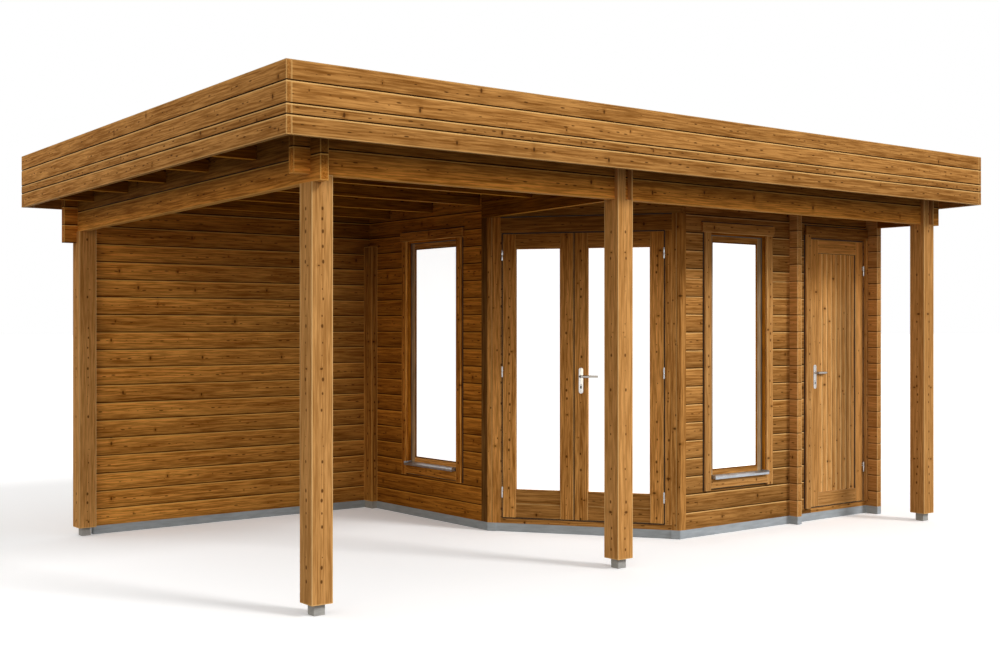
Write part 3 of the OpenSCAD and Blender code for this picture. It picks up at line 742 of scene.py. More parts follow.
def plate(low: Triple, high: Triple, outside: float, coats: list[Material], rim: float) -> Piece:
    """An upright plate with round ends, thin along y.

    Args:
        low: its lowest corner.
        high: its highest corner.
        outside: y of its outer face.
        coats: the finishes.
        rim: width of the eased outer rim.

    Returns:
        The plate.
    """
    piece = cube(low, high, coats)
    ease(piece, lambda a, b: abs(a.y - b.y) > 1e-5, (high[0] - low[0]) * 0.495, 8)
    ease(piece, lambda a, b: abs(a.y - outside) < 1e-6 and abs(b.y - outside) < 1e-6, rim)
    bpy.ops.object.shade_smooth_by_angle(angle=math.radians(35))
    return piece


def join(pieces: list[Piece]) -> Piece:
    """Joins pieces into one.

    Args:
        pieces: the pieces.

    Returns:
        The first of them, which holds all.
    """
    select(*pieces)
    if len(pieces) > 1:
        bpy.ops.object.join()
    return pieces[0]


def copies(piece: Piece, steps: list[Triple]) -> list[Piece]:
    """Copies a piece, mesh and all, by the given steps.

    Args:
        piece: the piece.
        steps: how far each copy goes from the piece.

    Returns:
        The piece and its copies.
    """
    row = [piece]
    for step in steps:
        select(piece)
        bpy.ops.object.duplicate(linked=False)
        bpy.ops.transform.translate(value=step)
        row.append(settle([]))
    return row


@dataclass(frozen=True)
class WallFrame:
    """A wall's own directions: x along it as seen from outside, y inwards, z up."""

    corner: Triple  # the wall's left lower corner on its outer face
    turn: float  # turn about Z in radians
    fades: tuple[Fade, ...] = ()  # painted light and shade over all the wall's wood

    @property
    def along(self) -> Triple:
        """Direction along the wall."""
        return (math.cos(self.turn), math.sin(self.turn), 0)

    def at(self, x: float) -> float:
        """The coordinate that a finish reads at a distance along the wall."""
        return Vector(self.corner).dot(Vector(self.along)) + x

    def upright(self, xs: tuple[float, ...], **more: object) -> Wood:
        """Wood with upright grain and board edges at distances along the wall."""
        return Wood(Z, self.along, Edges(tuple(self.at(x) for x in xs)), **{"fades": self.fades, **more})

    def level(self, zs: tuple[float, ...], **more: object) -> Wood:
        """Wood with level grain and board edges at heights."""
        return Wood(self.along, Z, Edges(zs), **{"fades": self.fades, **more})

    def hang(self, pieces: list[Piece], name: str, *nodes: str, body: Body = Body.SHED,
             slot: Slot = Slot.TIMBER) -> None:
        """Joins pieces, stands them on the wall and hangs them on their body.

        Args:
            pieces: pieces modelled in the wall's own directions.
            name: the joined piece's name.
            *nodes: the CAD nodes it stands for.
            body: the body it rides on.
            slot: not used.
        """
        piece = join(pieces)
        piece.matrix_world = Matrix.Translation(self.corner) @ Matrix.Rotation(self.turn, 4, "Z")
        select(piece)
        settle([])
        piece.name = name
        piece.data.name = name
        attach(piece, body.value)
        if nodes:
            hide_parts(*nodes)
        LOG.info("%s: %d faces", name, len(piece.data.polygons))

    def fit(self, name: str, finish: Finish, cuts: list[Cut], *nodes: str, body: Body = Body.SHED,
            slot: Slot = Slot.TIMBER) -> None:
        """Saws boards from one finish and hangs them as one piece.

        Args:
            name: the piece's name.
            finish: its finish.
            cuts: its boards.
            *nodes: the CAD nodes it stands for.
            body: the body it rides on.
            slot: not used; passed on to hang.
        """
        coats = finish.materials(name)
        self.hang([cut.saw(coats) for cut in cuts], name, *nodes, body=body, slot=slot)


FALL = 0.02
FALLING: Triple = (0, FALL, 1)
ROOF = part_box("left_fascia")[0].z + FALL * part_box("left_fascia")[1].y
RAFTER = 0.14  # height of the rafters
WINDOW_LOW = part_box("window_wall")[0]
# Painted shade: the wood of the front and door walls darkens and reddens towards the roof.
FRONT = WallFrame((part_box("front_left_post")[0].x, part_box("front_wall")[0].y, 0), 0,
                  (Fade(Z, (1.85, 2.1), WHITE, (0.9, 0.78, 0.56)),))
DOORS = WallFrame((WINDOW_LOW.x, WINDOW_LOW.y - 0.07, 0), math.radians(-54.2),
                  (Fade(Z, (1.45, 2.15), WHITE, (0.72, 0.6, 0.38)),))
SIDE = WallFrame((WINDOW_LOW.x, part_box("back_wall")[0].y, 0), math.radians(-90))
SITE = WallFrame((0, 0, 0), 0)

LOGS = Courses(0.165, 0.1176)
FRONT_LOGS = Courses(0.165, 0.1176, 1.6938, 0.0536)
GROOVE = 0.0045  # half width of the joints between logs and between the stepped boards
SEAL_DEEP: Pair = (0.005, 0.04)  # front and back of the seals between leaf and frame
SEAL_WIDE = 0.0044
LEAF_FOOT = 0.095
LEAF_HEIGHT = 1.905
LEAF_DEEP: Pair = (0.002, 0.044)


def dress(node: str, finish: Finish) -> None:
    """Gives a CAD node its finish.

    Args:
        node: the node's name.
        finish: the finish.
    """
    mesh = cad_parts[node].data
    mesh.materials.clear()
    mesh.materials.append(finish.material(f"{node}_finish"))
    LOG.info("%s: %s", node, type(finish).__name__)


def extents(node: str, along: Triple) -> dict[str, Pair]:
    """A node's extents through the wood and along its grain, for its worn edges.

    Args:
        node: the node's name.
        along: direction of the grain, X or Y.

    Returns:
        The extents, as fields of Wood.
    """
    low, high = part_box(node)
    if along == X:
        return {"thick": (-high.y, -low.y), "length": (low.x, high.x)}
    return {"thick": (low.x, high.x), "length": (low.y, high.y)}


def follow_fall(piece: Piece, ends: Pair) -> None:
    """Moves a piece's end faces to the heights that the roof's fall gives.

    Args:
        piece: the piece, modelled level as at the middle of the roof.
        ends: y of its two end faces.
    """
    for end in ends:
        pick(piece, lambda middle, normal: abs(middle.y - end) < 0.002, True)
        bpy.ops.transform.translate(value=(0, 0, -FALL * end))
        leave()


@dataclass
class Frame:
    """Feet, base strips, posts and beams."""

    side_drop: float = 0.173  # how far the left beam hangs under the rafters' underside
    cross_drop: float = 0.089  # the same for the beam over the doors
    board: float = 0.128  # height of a beam's lower board
    corners: tuple[Triple, Triple] = ((0, 0.031, 0.089), (1.2484, 1.279, 1.3044))  # door posts' boards

    def build(self) -> None:
        """Dresses the feet, the grey strips, the posts and the beams."""
        for node in ("long_bases", "cross_bases", "door_base"):
            dress(node, GREY)
        dress("post_feet", FEET)
        self.posts()
        self.beams()

    def posts(self) -> None:
        """Dresses the posts, each with its own grain."""
        # Painted light and shade: a tone per post, the inner corner post in the sheltered stain, the back
        # left post darker towards the top, painted highlights on the edges.
        tones = {"front_left_post": 0.92, "front_middle_post": 1.06, "front_right_post": 1.06,
                 "back_left_post": 1.12, "inner_corner_post": 0.9}
        fades = {"back_left_post": (Fade(Z, (0.9, 2), WHITE, (0.8, 0.74, 0.66)),)}
        for count, (node, tone) in enumerate(tones.items()):
            low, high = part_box(node)
            stain = SHELTERED_SHADE if node == "inner_corner_post" else OPEN_LIGHT
            dress(node, Wood(Z, X, Edges((low.x, high.x)), stain, tone, 3.7 * count, thick=(low.y, high.y),
                             length=(low.z, high.z), specks=DOTS, fades=fades.get(node, ())))
        # Painted shade: the door posts in the porch's shaded stain.
        look = {"stain": PORCH_SHADE, "groove": 0.002, "specks": SPARSE, "cracks": 0.35, "curve": 0}
        dress("door_left_post", DOORS.upright(self.corners[0], tone=1.2, seed=21, **look))
        dress("door_right_post", DOORS.upright(self.corners[1], tone=1, seed=23, **look))

    def beams(self) -> None:
        """Dresses the beams under the roof."""
        # Painted highlights on lips and rims, painted light on the upper and lower faces.
        look = {"groove": GROOVE, "lip": 0.5, "curve": 0.05, "under": 0.45, "rims": 0.35}
        low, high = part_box("front_beam")
        # Painted shade: the front beam darker towards the top under the fascia, lighter towards the left.
        fades = (Fade.plain(Z, (2.11, 2.25), 1.3, 0.62), Fade.plain(X, (-2.4, 1), 1.2, 1))
        dress("front_beam", Wood(X, Z, Edges((low.z, low.z + self.board, high.z)), BEAM_SHADE, 1, 31,
                                 fades=fades, **look, **extents("front_beam", X)))
        foot, top = ROOF - self.side_drop, ROOF + RAFTER
        joint = foot + self.board
        # Painted shade: the left beam lighter at its foot, darker above its lower board.
        fades = (Fade.plain(FALLING, (foot, joint + 0.02), 1.2, 0.6),)
        dress("left_beam", Wood(Y, FALLING, Edges((foot, joint, top)), BEAM_SHADE, 0.9, 33,
                                fades=fades, **look, **extents("left_beam", Y)))
        # Painted shade: the cross beams in the dim stain, with painted light on their upper and lower faces.
        dress("cross_beams", Wood(Y, FALLING, Edges((ROOF - self.cross_drop, top)), DIM_SHADE, 0.7, 35, under=0.5))


@dataclass
class Walls:
    """The log walls."""

    groove: float = GROOVE

    def build(self) -> None:
        """Dresses all the walls."""
        # Painted light and shade: the back wall in the sheltered stain, lighter at the left, darker and
        # redder towards the top.
        fades = (Fade.plain(X, (-2.4, -0.3), 1.26, 0.76), Fade(Z, (1.5, 2.25), WHITE, (0.64, 0.5, 0.3)))
        dress("back_wall",
              Wood(X, Z, LOGS, SHELTERED_SHADE, 1.18, 5, self.groove, fades=fades, **extents("back_wall", X)))
        # Painted shade: the window wall in the nook stain, darker further in and near the foot.
        fades = (Fade.plain(Y, (0.1, 1.4), 1.08, 0.82), Fade.plain(Z, (0.2, 0.8), 0.85, 1))
        dress("window_wall", Wood(Y, Z, LOGS, NOOK_SHADE, 1.18, 6, self.groove, fades=fades))
        # Painted shade: the front wall darker and redder under the roof, darker near the foot and towards
        # the right.
        fades = (Fade(Z, (1.75, 2.3), WHITE, (0.74, 0.6, 0.4)), Fade.plain(Z, (0.2, 0.9), 0.76, 1.05),
                 Fade.plain(X, (0.6, 1.8), 1.04, 0.84))
        dress("front_wall", Wood(X, Z, FRONT_LOGS, PORCH_SHADE, 0.88, 7, self.groove, fades=fades))
        # Painted shade: the lintel darker and redder under the roof.
        fades = (Fade(Z, (1.9, 2.3), WHITE, (0.8, 0.65, 0.45)),)
        dress("storage_lintel", Wood(X, Z, FRONT_LOGS, SHELTERED_SHADE, 0.85, 7, self.groove, fades=fades))
        for node, tone, seed in (("partition", 1.14, 8), ("right_wall", 1, 9)):
            dress(node, Wood(Y, Z, LOGS, OPEN_LIGHT, tone, seed, self.groove, lip=0.3, curve=0.1, cracks=0.3,
                             **extents(node, Y)))
        # Painted shade: the door lintel in the sheltered stain.
        dress("door_lintel", Wood(DOORS.along, Z, FRONT_LOGS, SHELTERED_SHADE, 1, 10, self.groove))


@dataclass
class Roof:
    """Fascias, rafters, ceiling boards and felt."""

    steps: Triple = (0.248, 0.197, 0.094)  # the fascia's joints under its top
    height: float = 0.338  # height of the side fascias
    deck: float = 0.018  # thickness of the ceiling boards
    boards: int = 57  # number of ceiling boards
    felt_thick: float = 0.005  # thickness of the felt
    laps: Triple = (-0.9, 0, 0.9)  # y of the felt laps
    lap: float = 0.07  # width of a felt lap
    strip: float = 0.004  # thickness of the turned-up felt
    turn_up: float = 0.12  # its height

    def fascias(self) -> None:
        """Dresses the four fascias and the rafters."""
        # Painted light: the side fascias lighter towards the back.
        slope = (Fade.plain(Y, (-1.8, 1.8), 0.98, 1.2),)
        for seed, node in enumerate(("front_fascia", "back_fascia", "left_fascia", "right_fascia"), 41):
            low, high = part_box(node)
            level = high.x - low.x > high.y - low.y
            along, across = (X, Z) if level else (Y, FALLING)
            foot, top = (low.z, high.z) if level else (ROOF, ROOF + self.height)
            edges = Edges((foot, *(top - step for step in self.steps), top))
            # Painted shade: the fascias in the porch's shaded stain, with painted highlights on rims and on
            # upper and lower faces.
            dress(node, Wood(along, across, edges, PORCH_SHADE, 0.86, seed, GROOVE, rims=0.35, cracks=0.08,
                             curve=0.08, under=0.3, fades=() if level else slope, **extents(node, along)))
        # Painted shade: the rafters in the dim stain, with painted light on their upper and lower faces.
        dress("rafters", Wood(X, FALLING, Edges((ROOF, ROOF + RAFTER)), DIM_SHADE, 0.62, 47, under=0.7))

    def ceiling(self) -> None:
        """Lays the ceiling boards, with an eased joint between each two."""
        low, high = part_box("roof_boards")
        pitch = (high.x - low.x) / self.boards
        # Painted shade: the ceiling in the dim stain.
        finish = Wood(Y, X, Courses(low.x, pitch), DIM_SHADE, 0.68, 51, 0.0016, lip=0.3, curve=0.1)
        foot = ROOF + RAFTER
        board = cube((low.x, low.y, foot), (low.x + pitch, high.y, foot + self.deck),
                     finish.materials("ceiling_boards"))
        follow_fall(board, (low.y, high.y))
        ease(board, lambda a, b: abs(a.y - b.y) > 1 and a.z + FALL * a.y < foot + 0.001, 0.003, 1, 1)
        row = board.modifiers.new("row", "ARRAY")
        row.count = self.boards
        row.use_relative_offset = False
        row.use_constant_offset = True
        row.constant_offset_displace = (pitch, 0, 0)
        bpy.ops.object.modifier_apply(modifier="row")
        SITE.hang([board], "ceiling_boards", "roof_boards", slot=Slot.DARK_TIMBER)

    def felt(self) -> None:
        """Dresses the roofing felt and adds its laps and the strips turned up at the fascias."""
        dress("roofing_sheet", FELT)
        low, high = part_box("roofing_sheet")
        top = ROOF + RAFTER + self.deck + self.felt_thick
        thin, width = 0.003, 0.001
        laps = [Cut(low.x + self.strip, high.x - self.strip, top - FALL * y - thin, top - FALL * y + thin,
                    (y, y + self.lap), width) for y in self.laps]
        SITE.fit("felt_laps", FELT, laps, slot=Slot.ROOF)
        coats = FELT.materials("felt_upstands")
        ups = [Cut(low.x, high.x, top - FALL * y - 0.01, top - FALL * y + self.turn_up, (y, y + self.strip),
                   width).saw(coats) for y in (low.y, high.y - self.strip)]
        for x in (low.x, high.x - self.strip):
            side = Cut(x, x + self.strip, top - 0.01, top + self.turn_up, (low.y, high.y), width).saw(coats)
            follow_fall(side, (low.y, high.y))
            ups.append(side)
        SITE.hang(ups, "felt_upstands", slot=Slot.ROOF)

    def build(self) -> None:
        """Builds the roof."""
        self.fascias()
        self.ceiling()
        self.felt()


@dataclass
class Window:
    """A fixed window with its lining, casing boards and sill."""

    name: str
    wall: WallFrame
    middle: float  # its middle along the wall
    width: float  # width over the head board
    seed: float  # shifts the grain
    stain: Stain = OPEN_LIGHT  # of the casing boards
    tone: float = 1  # brightness of the casing boards, partly painted light and shade
    inner: Triple = (0.8, 0.95, 0.8)  # painted light and shade: brightness of the lining, the sash's uprights and its rails
    low: float = 0.295  # foot of the upright casing boards
    top: float = 2.066  # top of the head board
    head: float = 0.066  # height of the head board
    sole: float = 0.06  # height of the bottom board
    foot: float = 0.013  # how far the uprights run below the bottom board
    ear: float = 0.02  # how far the head board runs past the uprights
    casing: float = 0.056  # width of an upright casing board
    proud: float = 0.02  # thickness of the casing boards
    lining: float = 0.012  # thickness of the lining
    sash: float = 0.05  # width of the sash's members with their bead
    bead: float = 0.008  # width of the glazing bead
    seal: Pair = (0.007, 0.003)  # width and thickness of the painted shadow lines beside the boards
    gap: Pair = (0.007, 0.005)  # width and thickness of the dark lines beside the boards
    deep: Pair = (0.023, 0.063)  # front and back of the sash
    sill: Pair = (0.0015, 0.045)  # thickness of the sill and how far it runs out
    upturn: Pair = (0.008, 0.016)  # how far the sill's ends reach below and above the lining

    @property
    def half(self) -> float:
        """Half the opening's width."""
        return self.width / 2 - self.ear - self.casing

    @property
    def hole(self) -> Pair:
        """The opening's foot and top."""
        return self.low + self.foot + self.sole, self.top - self.head

    def casings(self) -> None:
        """The boards round the opening and the dark lines beside them."""
        middle, half, (foot, top) = self.middle, self.half, self.hole
        outer = half + self.casing
        wide = outer + self.ear
        xs = (middle - outer, middle - half, middle + half, middle + outer)
        zs = (foot - self.sole, foot, top, self.top)
        look = {"stain": self.stain, "tone": self.tone}
        front = (-self.proud, 0)
        finish = self.wall.upright(xs, seed=self.seed, specks=DOTS, **look)
        cuts = [Cut(x, x + self.casing, self.low, top, front, 0.003) for x in (xs[0], xs[2])]
        self.wall.fit(f"{self.name}_casing_sides", finish, cuts, "window_casings")
        finish = self.wall.level(zs, seed=self.seed + 1, **look)
        cuts = [Cut(middle - wide, middle + wide, top, self.top, front, 0.003),
                Cut(xs[1], xs[2], zs[0], foot, front)]
        self.wall.fit(f"{self.name}_casing_head_and_foot", finish, cuts, "window_casings")
        # Painted shade: near-black strips beside the casing boards.
        gap, thick = self.gap
        lines = ((xs[0] - gap, xs[0], self.low, top), (xs[3], xs[3] + gap, self.low, top),
                 (middle - wide, middle + wide, self.top, self.top + gap),
                 (xs[1], xs[2], zs[0] - gap, zs[0]))
        self.wall.fit(f"{self.name}_joints", SHADE_STRIP, [Cut(*line, (-thick, 0), 0.0005) for line in lines])

    def ring(self, name: str, inset: float, width: float, deep: Pair, uprights: Finish,
             rails: Finish) -> None:
        """Four members round the opening, the rails between the uprights.

        Args:
            name: the pieces' name.
            inset: distance from the opening's edge to the ring.
            width: width of the members.
            deep: front and back of the members.
            uprights: finish of the uprights.
            rails: finish of the rails.
        """
        left, right = self.middle - self.half + inset, self.middle + self.half - inset
        low, high = self.hole[0] + inset, self.hole[1] - inset
        cuts = [Cut(x, x + width, low, high, deep, 0.001) for x in (left, right - width)]
        self.wall.fit(f"{self.name}_{name}_sides", uprights, cuts, "window_sashes")
        cuts = [Cut(left + width, right - width, z, z + width, deep, 0.001) for z in (low, high - width)]
        self.wall.fit(f"{self.name}_{name}_rails", rails, cuts, "window_sashes")

    def sashes(self) -> None:
        """Lining, sash, glazing bead and seals."""
        xs = (self.middle - self.half, self.middle, self.middle + self.half)
        zs = (self.hole[0], 1, self.hole[1])
        front, back = self.deep
        member, (lining, uprights, rails) = self.sash - self.bead, self.inner
        glazing = (front + 0.003, front + 0.013)
        # Painted shade: lining and beads in the dim stain, the beads darker still.
        rings = (("lining", 0, self.lining, (0, back), DIM_SHADE, DIM_SHADE, lining, lining),
                 ("sash", self.lining, member, self.deep, GREYED, PORCH_SHADE, uprights, rails),
                 ("bead", self.lining + member, self.bead, glazing, DIM_SHADE, DIM_SHADE, 0.5, 0.5))
        for count, (name, inset, width, deep, stain, rail_stain, tone, rail_tone) in enumerate(rings, 1):
            seed = self.seed + 2 * count
            self.ring(name, inset, width, deep, self.wall.upright(xs, stain=stain, tone=tone, seed=seed),
                      self.wall.level(zs, stain=rail_stain, tone=rail_tone, seed=seed + 1))
        width, thick = self.seal
        self.ring("seal", self.lining, width, (front - thick, front), SEAL, SEAL)

    def sill_ends(self) -> None:
        """Upturned ends of the metal sill."""
        (thick, out), (below, above) = self.sill, self.upturn
        half, z = self.half - self.lining, self.hole[0] + self.lining
        ends = [Cut(x, x + thick, z - below, z + above, (-out, self.deep[0]), 0.0004)
                for x in (self.middle - half, self.middle + half - thick)]
        self.wall.fit(f"{self.name}_sill_ends", SILL, ends, slot=Slot.SILL)

    def build(self) -> None:
        """Builds the window."""
        self.casings()
        self.sashes()
        self.sill_ends()


@dataclass
class Hinge:
    """Hinges of two round knuckles each."""

    name: str
    wall: WallFrame
    pin: float  # the pin's distance along the wall
    leaf: float  # side of the pin that the leaf lies on, 1 or -1
    body: Body  # the leaf's body
    feet: tuple[float, ...] = (0.23, 1.04, 1.824)  # heights of the knuckles' lower ends
    out: float = 0.007  # how far the pin lies before the wall's face
    radius: float = 0.0056  # the knuckles' radius
    cap: float = 0.0042  # the caps' radius
    peg: float = 0.0026  # the pegs' radius
    pegs: Pair = (0.009, 0.025)  # their heights over a knuckle's lower end
    play: float = 0.0003  # gap between two knuckles
    knuckle: float = 0.034  # a knuckle's length

    def half(self, name: str, foot: float, side: float, up: float, body: Body, *nodes: str) -> None:
        """One half of each hinge: a knuckle with its cap and the two pegs that hold it in the wood.

        Args:
            name: the half's name.
            foot: height of the lowest knuckle's lower end.
            side: side of the pin that the pegs go to.
            up: 1 if the cap is on top, -1 if it is below.
            body: the body it rides on.
            *nodes: the nodes it stands for.
        """
        coats = HINGE_STEEL.materials(f"{self.name}_{name}")
        pin, top = (self.pin, -self.out), foot + self.knuckle
        end = top if up > 0 else foot
        parts = [rod((*pin, foot), (*pin, top), self.radius, coats, 0.0012),
                 rod((*pin, end - up * 0.001), (*pin, end + up * 0.0025), self.cap, coats, 0.0015)]
        parts += [rod((*pin, z), (self.pin + side * 0.009, 0.007, z), self.peg, coats, 0.0005)
                  for z in (foot + height for height in self.pegs)]
        row = copies(join(parts), [(0, 0, z - self.feet[0]) for z in self.feet[1:]])
        self.wall.hang(row, f"{self.name}_{name}", *nodes, body=body, slot=Slot.STEEL)

    def build(self, node: str) -> None:
        """Builds both halves of the hinges.

        Args:
            node: the node that the leaf's halves stand for.
        """
        low = self.feet[0]
        self.half("hinges_on_jamb", low, -self.leaf, -1, Body.SHED, "fixed_hinges")
        self.half("hinges_on_leaf", low + self.knuckle + self.play, self.leaf, 1, self.body, node)


@dataclass
class Handles:
    """Long plates and levers on both faces of a leaf."""

    name: str
    wall: WallFrame
    x: float  # the spindle's distance along the wall
    body: Body  # the leaf's body
    lever_body: Body
    z: float = 1.048  # the spindle's height
    width: float = 0.03  # the plates' width
    height: float = 0.172  # the plates' height
    share: float = 0.66  # share of the plate below the spindle
    thick: float = 0.003  # the plates' thickness
    inset: float = 0.01  # distance of the screws from the plate's ends
    screw: Pair = (0.0036, 0.0014)  # radius of a screw and of its hole
    keyway: Pair = (0.0055, 0.0145)  # half the keyway's width and height
    barrel: Pair = (0.0042, 0.008)  # the lock's radius and its height over the keyway's middle
    collar: Pair = (0.0105, 0.004)  # radius and thickness of the levers' collars
    grip: float = 0.0072  # radius of the levers
    swell: float = 1.22  # how much thicker the grip is than the neck
    out: float = 0.045  # distance from the leaf to the grip's middle
    reach: float = 0.118  # distance from the spindle to the grip's end
    bend: float = 0.014  # radius of the bend between neck and grip
    lock: float = 0.067  # how far the lock lies below the spindle

    def stud(self, start: float, end: float, z: float, radius: float, coats: list[Material],
             rim: float = 0.0005) -> Piece:
        """A round stud square to the leaf, from one depth to another."""
        return rod((self.x, start, z), (self.x, end, z), radius, coats, rim)

    def plates(self, node: str) -> None:
        """Builds the plates with their screws and locks.

        Args:
            node: the node they stand for.
        """
        coats = STEEL.materials(f"{self.name}_plates")
        dark = KEYWAY_SHADE.materials(f"{self.name}_keyways")
        foot = self.z - self.height * self.share
        top, half, lock = foot + self.height, self.width / 2, self.z - self.lock
        metal, holes = [], []
        for face, side in zip(LEAF_DEEP, (-1, 1)):
            outer = face + side * self.thick
            near, far = sorted((face, outer))
            metal.append(plate((self.x - half, near, foot), (self.x + half, far, top), outer, coats, 0.0012))
            root = outer - side * 0.001
            for z in (foot + self.inset, top - self.inset):
                metal.append(self.stud(root, outer + side * 0.0009, z, self.screw[0], coats))
                holes.append(self.stud(outer, outer + side * 0.0011, z, self.screw[1], dark, 0.0002))
            mouth, (wide, high) = outer + side * 0.0006, self.keyway
            near, far = sorted((root, mouth))
            holes.append(plate((self.x - wide, near, lock - high), (self.x + wide, far, lock + high),
                               mouth, dark, 0.0003))
            radius, over = self.barrel
            metal.append(self.stud(outer, outer + side * 0.0016, lock + over, radius, coats))
        self.wall.hang(metal, f"{self.name}_plates", node, body=self.body, slot=Slot.STEEL)
        self.wall.hang(holes, f"{self.name}_keyways", body=self.body, slot=Slot.STEEL)

    def lever(self, face: float, side: float, coats: list[Material]) -> Piece:
        """A round lever: neck, bend and grip.

        Args:
            face: the leaf's face it stands on.
            side: -1 outside, 1 inside.
            coats: its finish.

        Returns:
            The lever.
        """
        root, elbow = face + side * (self.thick + 0.0005), face + side * (self.out - self.bend)
        select()
        bpy.ops.mesh.primitive_cylinder_add(
            vertices=24, radius=self.grip, depth=abs(elbow - root),
            location=(self.x, (root + elbow) / 2, self.z), rotation=(math.radians(90), 0, 0))
        piece = settle(coats)
        pick(piece, lambda middle, normal: normal.y * side > 0.9, True)
        turn, middle = self.x + self.bend, face + side * self.out
        bpy.ops.mesh.spin(steps=10, angle=math.radians(-90) * side, center=(turn, elbow, self.z), axis=Z)
        bpy.ops.transform.resize(value=(1, self.swell, self.swell), center_override=(turn, middle, self.z))
        bpy.ops.mesh.extrude_region_move(TRANSFORM_OT_translate={"value": (self.reach - self.bend, 0, 0)})
        leave()
        tip = max(v.co.x for v in piece.data.vertices) - 1e-5
        ease(piece, lambda a, b: a.x > tip and b.x > tip, 0.003, 3)
        pick(piece, lambda a, b: True)
        bpy.ops.mesh.remove_doubles(threshold=1e-6)
        bpy.ops.mesh.normals_make_consistent(inside=False)
        leave()
        bpy.ops.object.shade_smooth_by_angle(angle=math.radians(40))
        return piece

    def levers(self, node: str) -> None:
        """Builds both levers with their collars.

        Args:
            node: the node they stand for.
        """
        coats, parts = LEVER_STEEL.materials(f"{self.name}_levers"), []
        radius, thick = self.collar
        for face, side in zip(LEAF_DEEP, (-1, 1)):
            outer = face + side * (self.thick + 0.0002)
            parts.append(self.lever(face, side, coats))
            parts.append(self.stud(outer, outer + side * thick, self.z, radius, coats, 0.001))
        self.wall.hang(parts, f"{self.name}_levers", node, body=self.lever_body, slot=Slot.STEEL)


@dataclass
class GlazedLeaf:
    """A leaf of the double door: stiles, top rail, two panel boards and beads."""

    name: str
    body: Body
    x: float  # its left edge along the door wall
    width: float
    seed: float  # shifts the grain
    meeting: float = 0  # width of the near-black seal on its right edge, which also paints the shade between the leaves, 0 for none
    stile: float = 0.089  # width of a stile
    rail: float = 0.098  # height of the top rail
    panel: float = 0.186  # height of the panel
    set_back: float = 0.004  # how far the panel and the beads lie behind the stiles
    bead: float = 0.005  # width of a bead
    glass: Pair = (0.015, 0.031)  # front and back of the glass

    def part(self, name: str, finish: Finish, cuts: list[Cut]) -> None:
        """Hangs one of the leaf's pieces on its body.

        Args:
            name: the piece's name.
            finish: its finish.
            cuts: its boards.
        """
        DOORS.fit(f"{self.name}_{name}", finish, cuts, self.name, body=self.body)

    def build(self) -> None:
        """Builds the leaf."""
        top, (front, back) = LEAF_FOOT + LEAF_HEIGHT, LEAF_DEEP
        xs = (self.x, self.x + self.stile, self.x + self.width - self.stile, self.x + self.width)
        # Painted shade: stiles, rail and panel in the porch's shaded stain, the panel darker, the beads in
        # the sheltered stain.
        self.part("stiles", DOORS.upright(xs, stain=PORCH_SHADE, tone=1.16, seed=self.seed, specks=DOTS),
                  [Cut(x, x + self.stile, LEAF_FOOT, top, LEAF_DEEP, 0.0022) for x in (xs[0], xs[2])])
        low = top - self.rail
        self.part("rail", DOORS.level((low, top), stain=PORCH_SHADE, seed=self.seed + 1),
                  [Cut(xs[1], xs[2], low, top, LEAF_DEEP)])
        half = self.panel / 2
        zs = tuple(LEAF_FOOT + half * count for count in range(3))
        near, far = front + self.set_back, back - self.set_back
        self.part("panel", DOORS.level(zs, stain=PORCH_SHADE, tone=0.76, seed=self.seed + 2),
                  [Cut(xs[1], xs[2], z, z + half, (near, far), 0.0035) for z in zs[:2]])
        bead, beads = self.bead, []
        for deep in ((near, self.glass[0]), (self.glass[1], far)):
            beads += [Cut(x, x + bead, zs[2], low, deep, 0.001) for x in (xs[1], xs[2] - bead)]
            beads += [Cut(xs[1] + bead, xs[2] - bead, z, z + bead, deep, 0.001) for z in (zs[2], low - bead)]
        self.part("beads", DOORS.upright(xs, stain=SHELTERED_SHADE, seed=self.seed + 3), beads)
        if self.meeting:
            self.part("seal", SHADE_STRIP, [Cut(xs[3], xs[3] + self.meeting, LEAF_FOOT, top, SEAL_DEEP, 0.0004)])


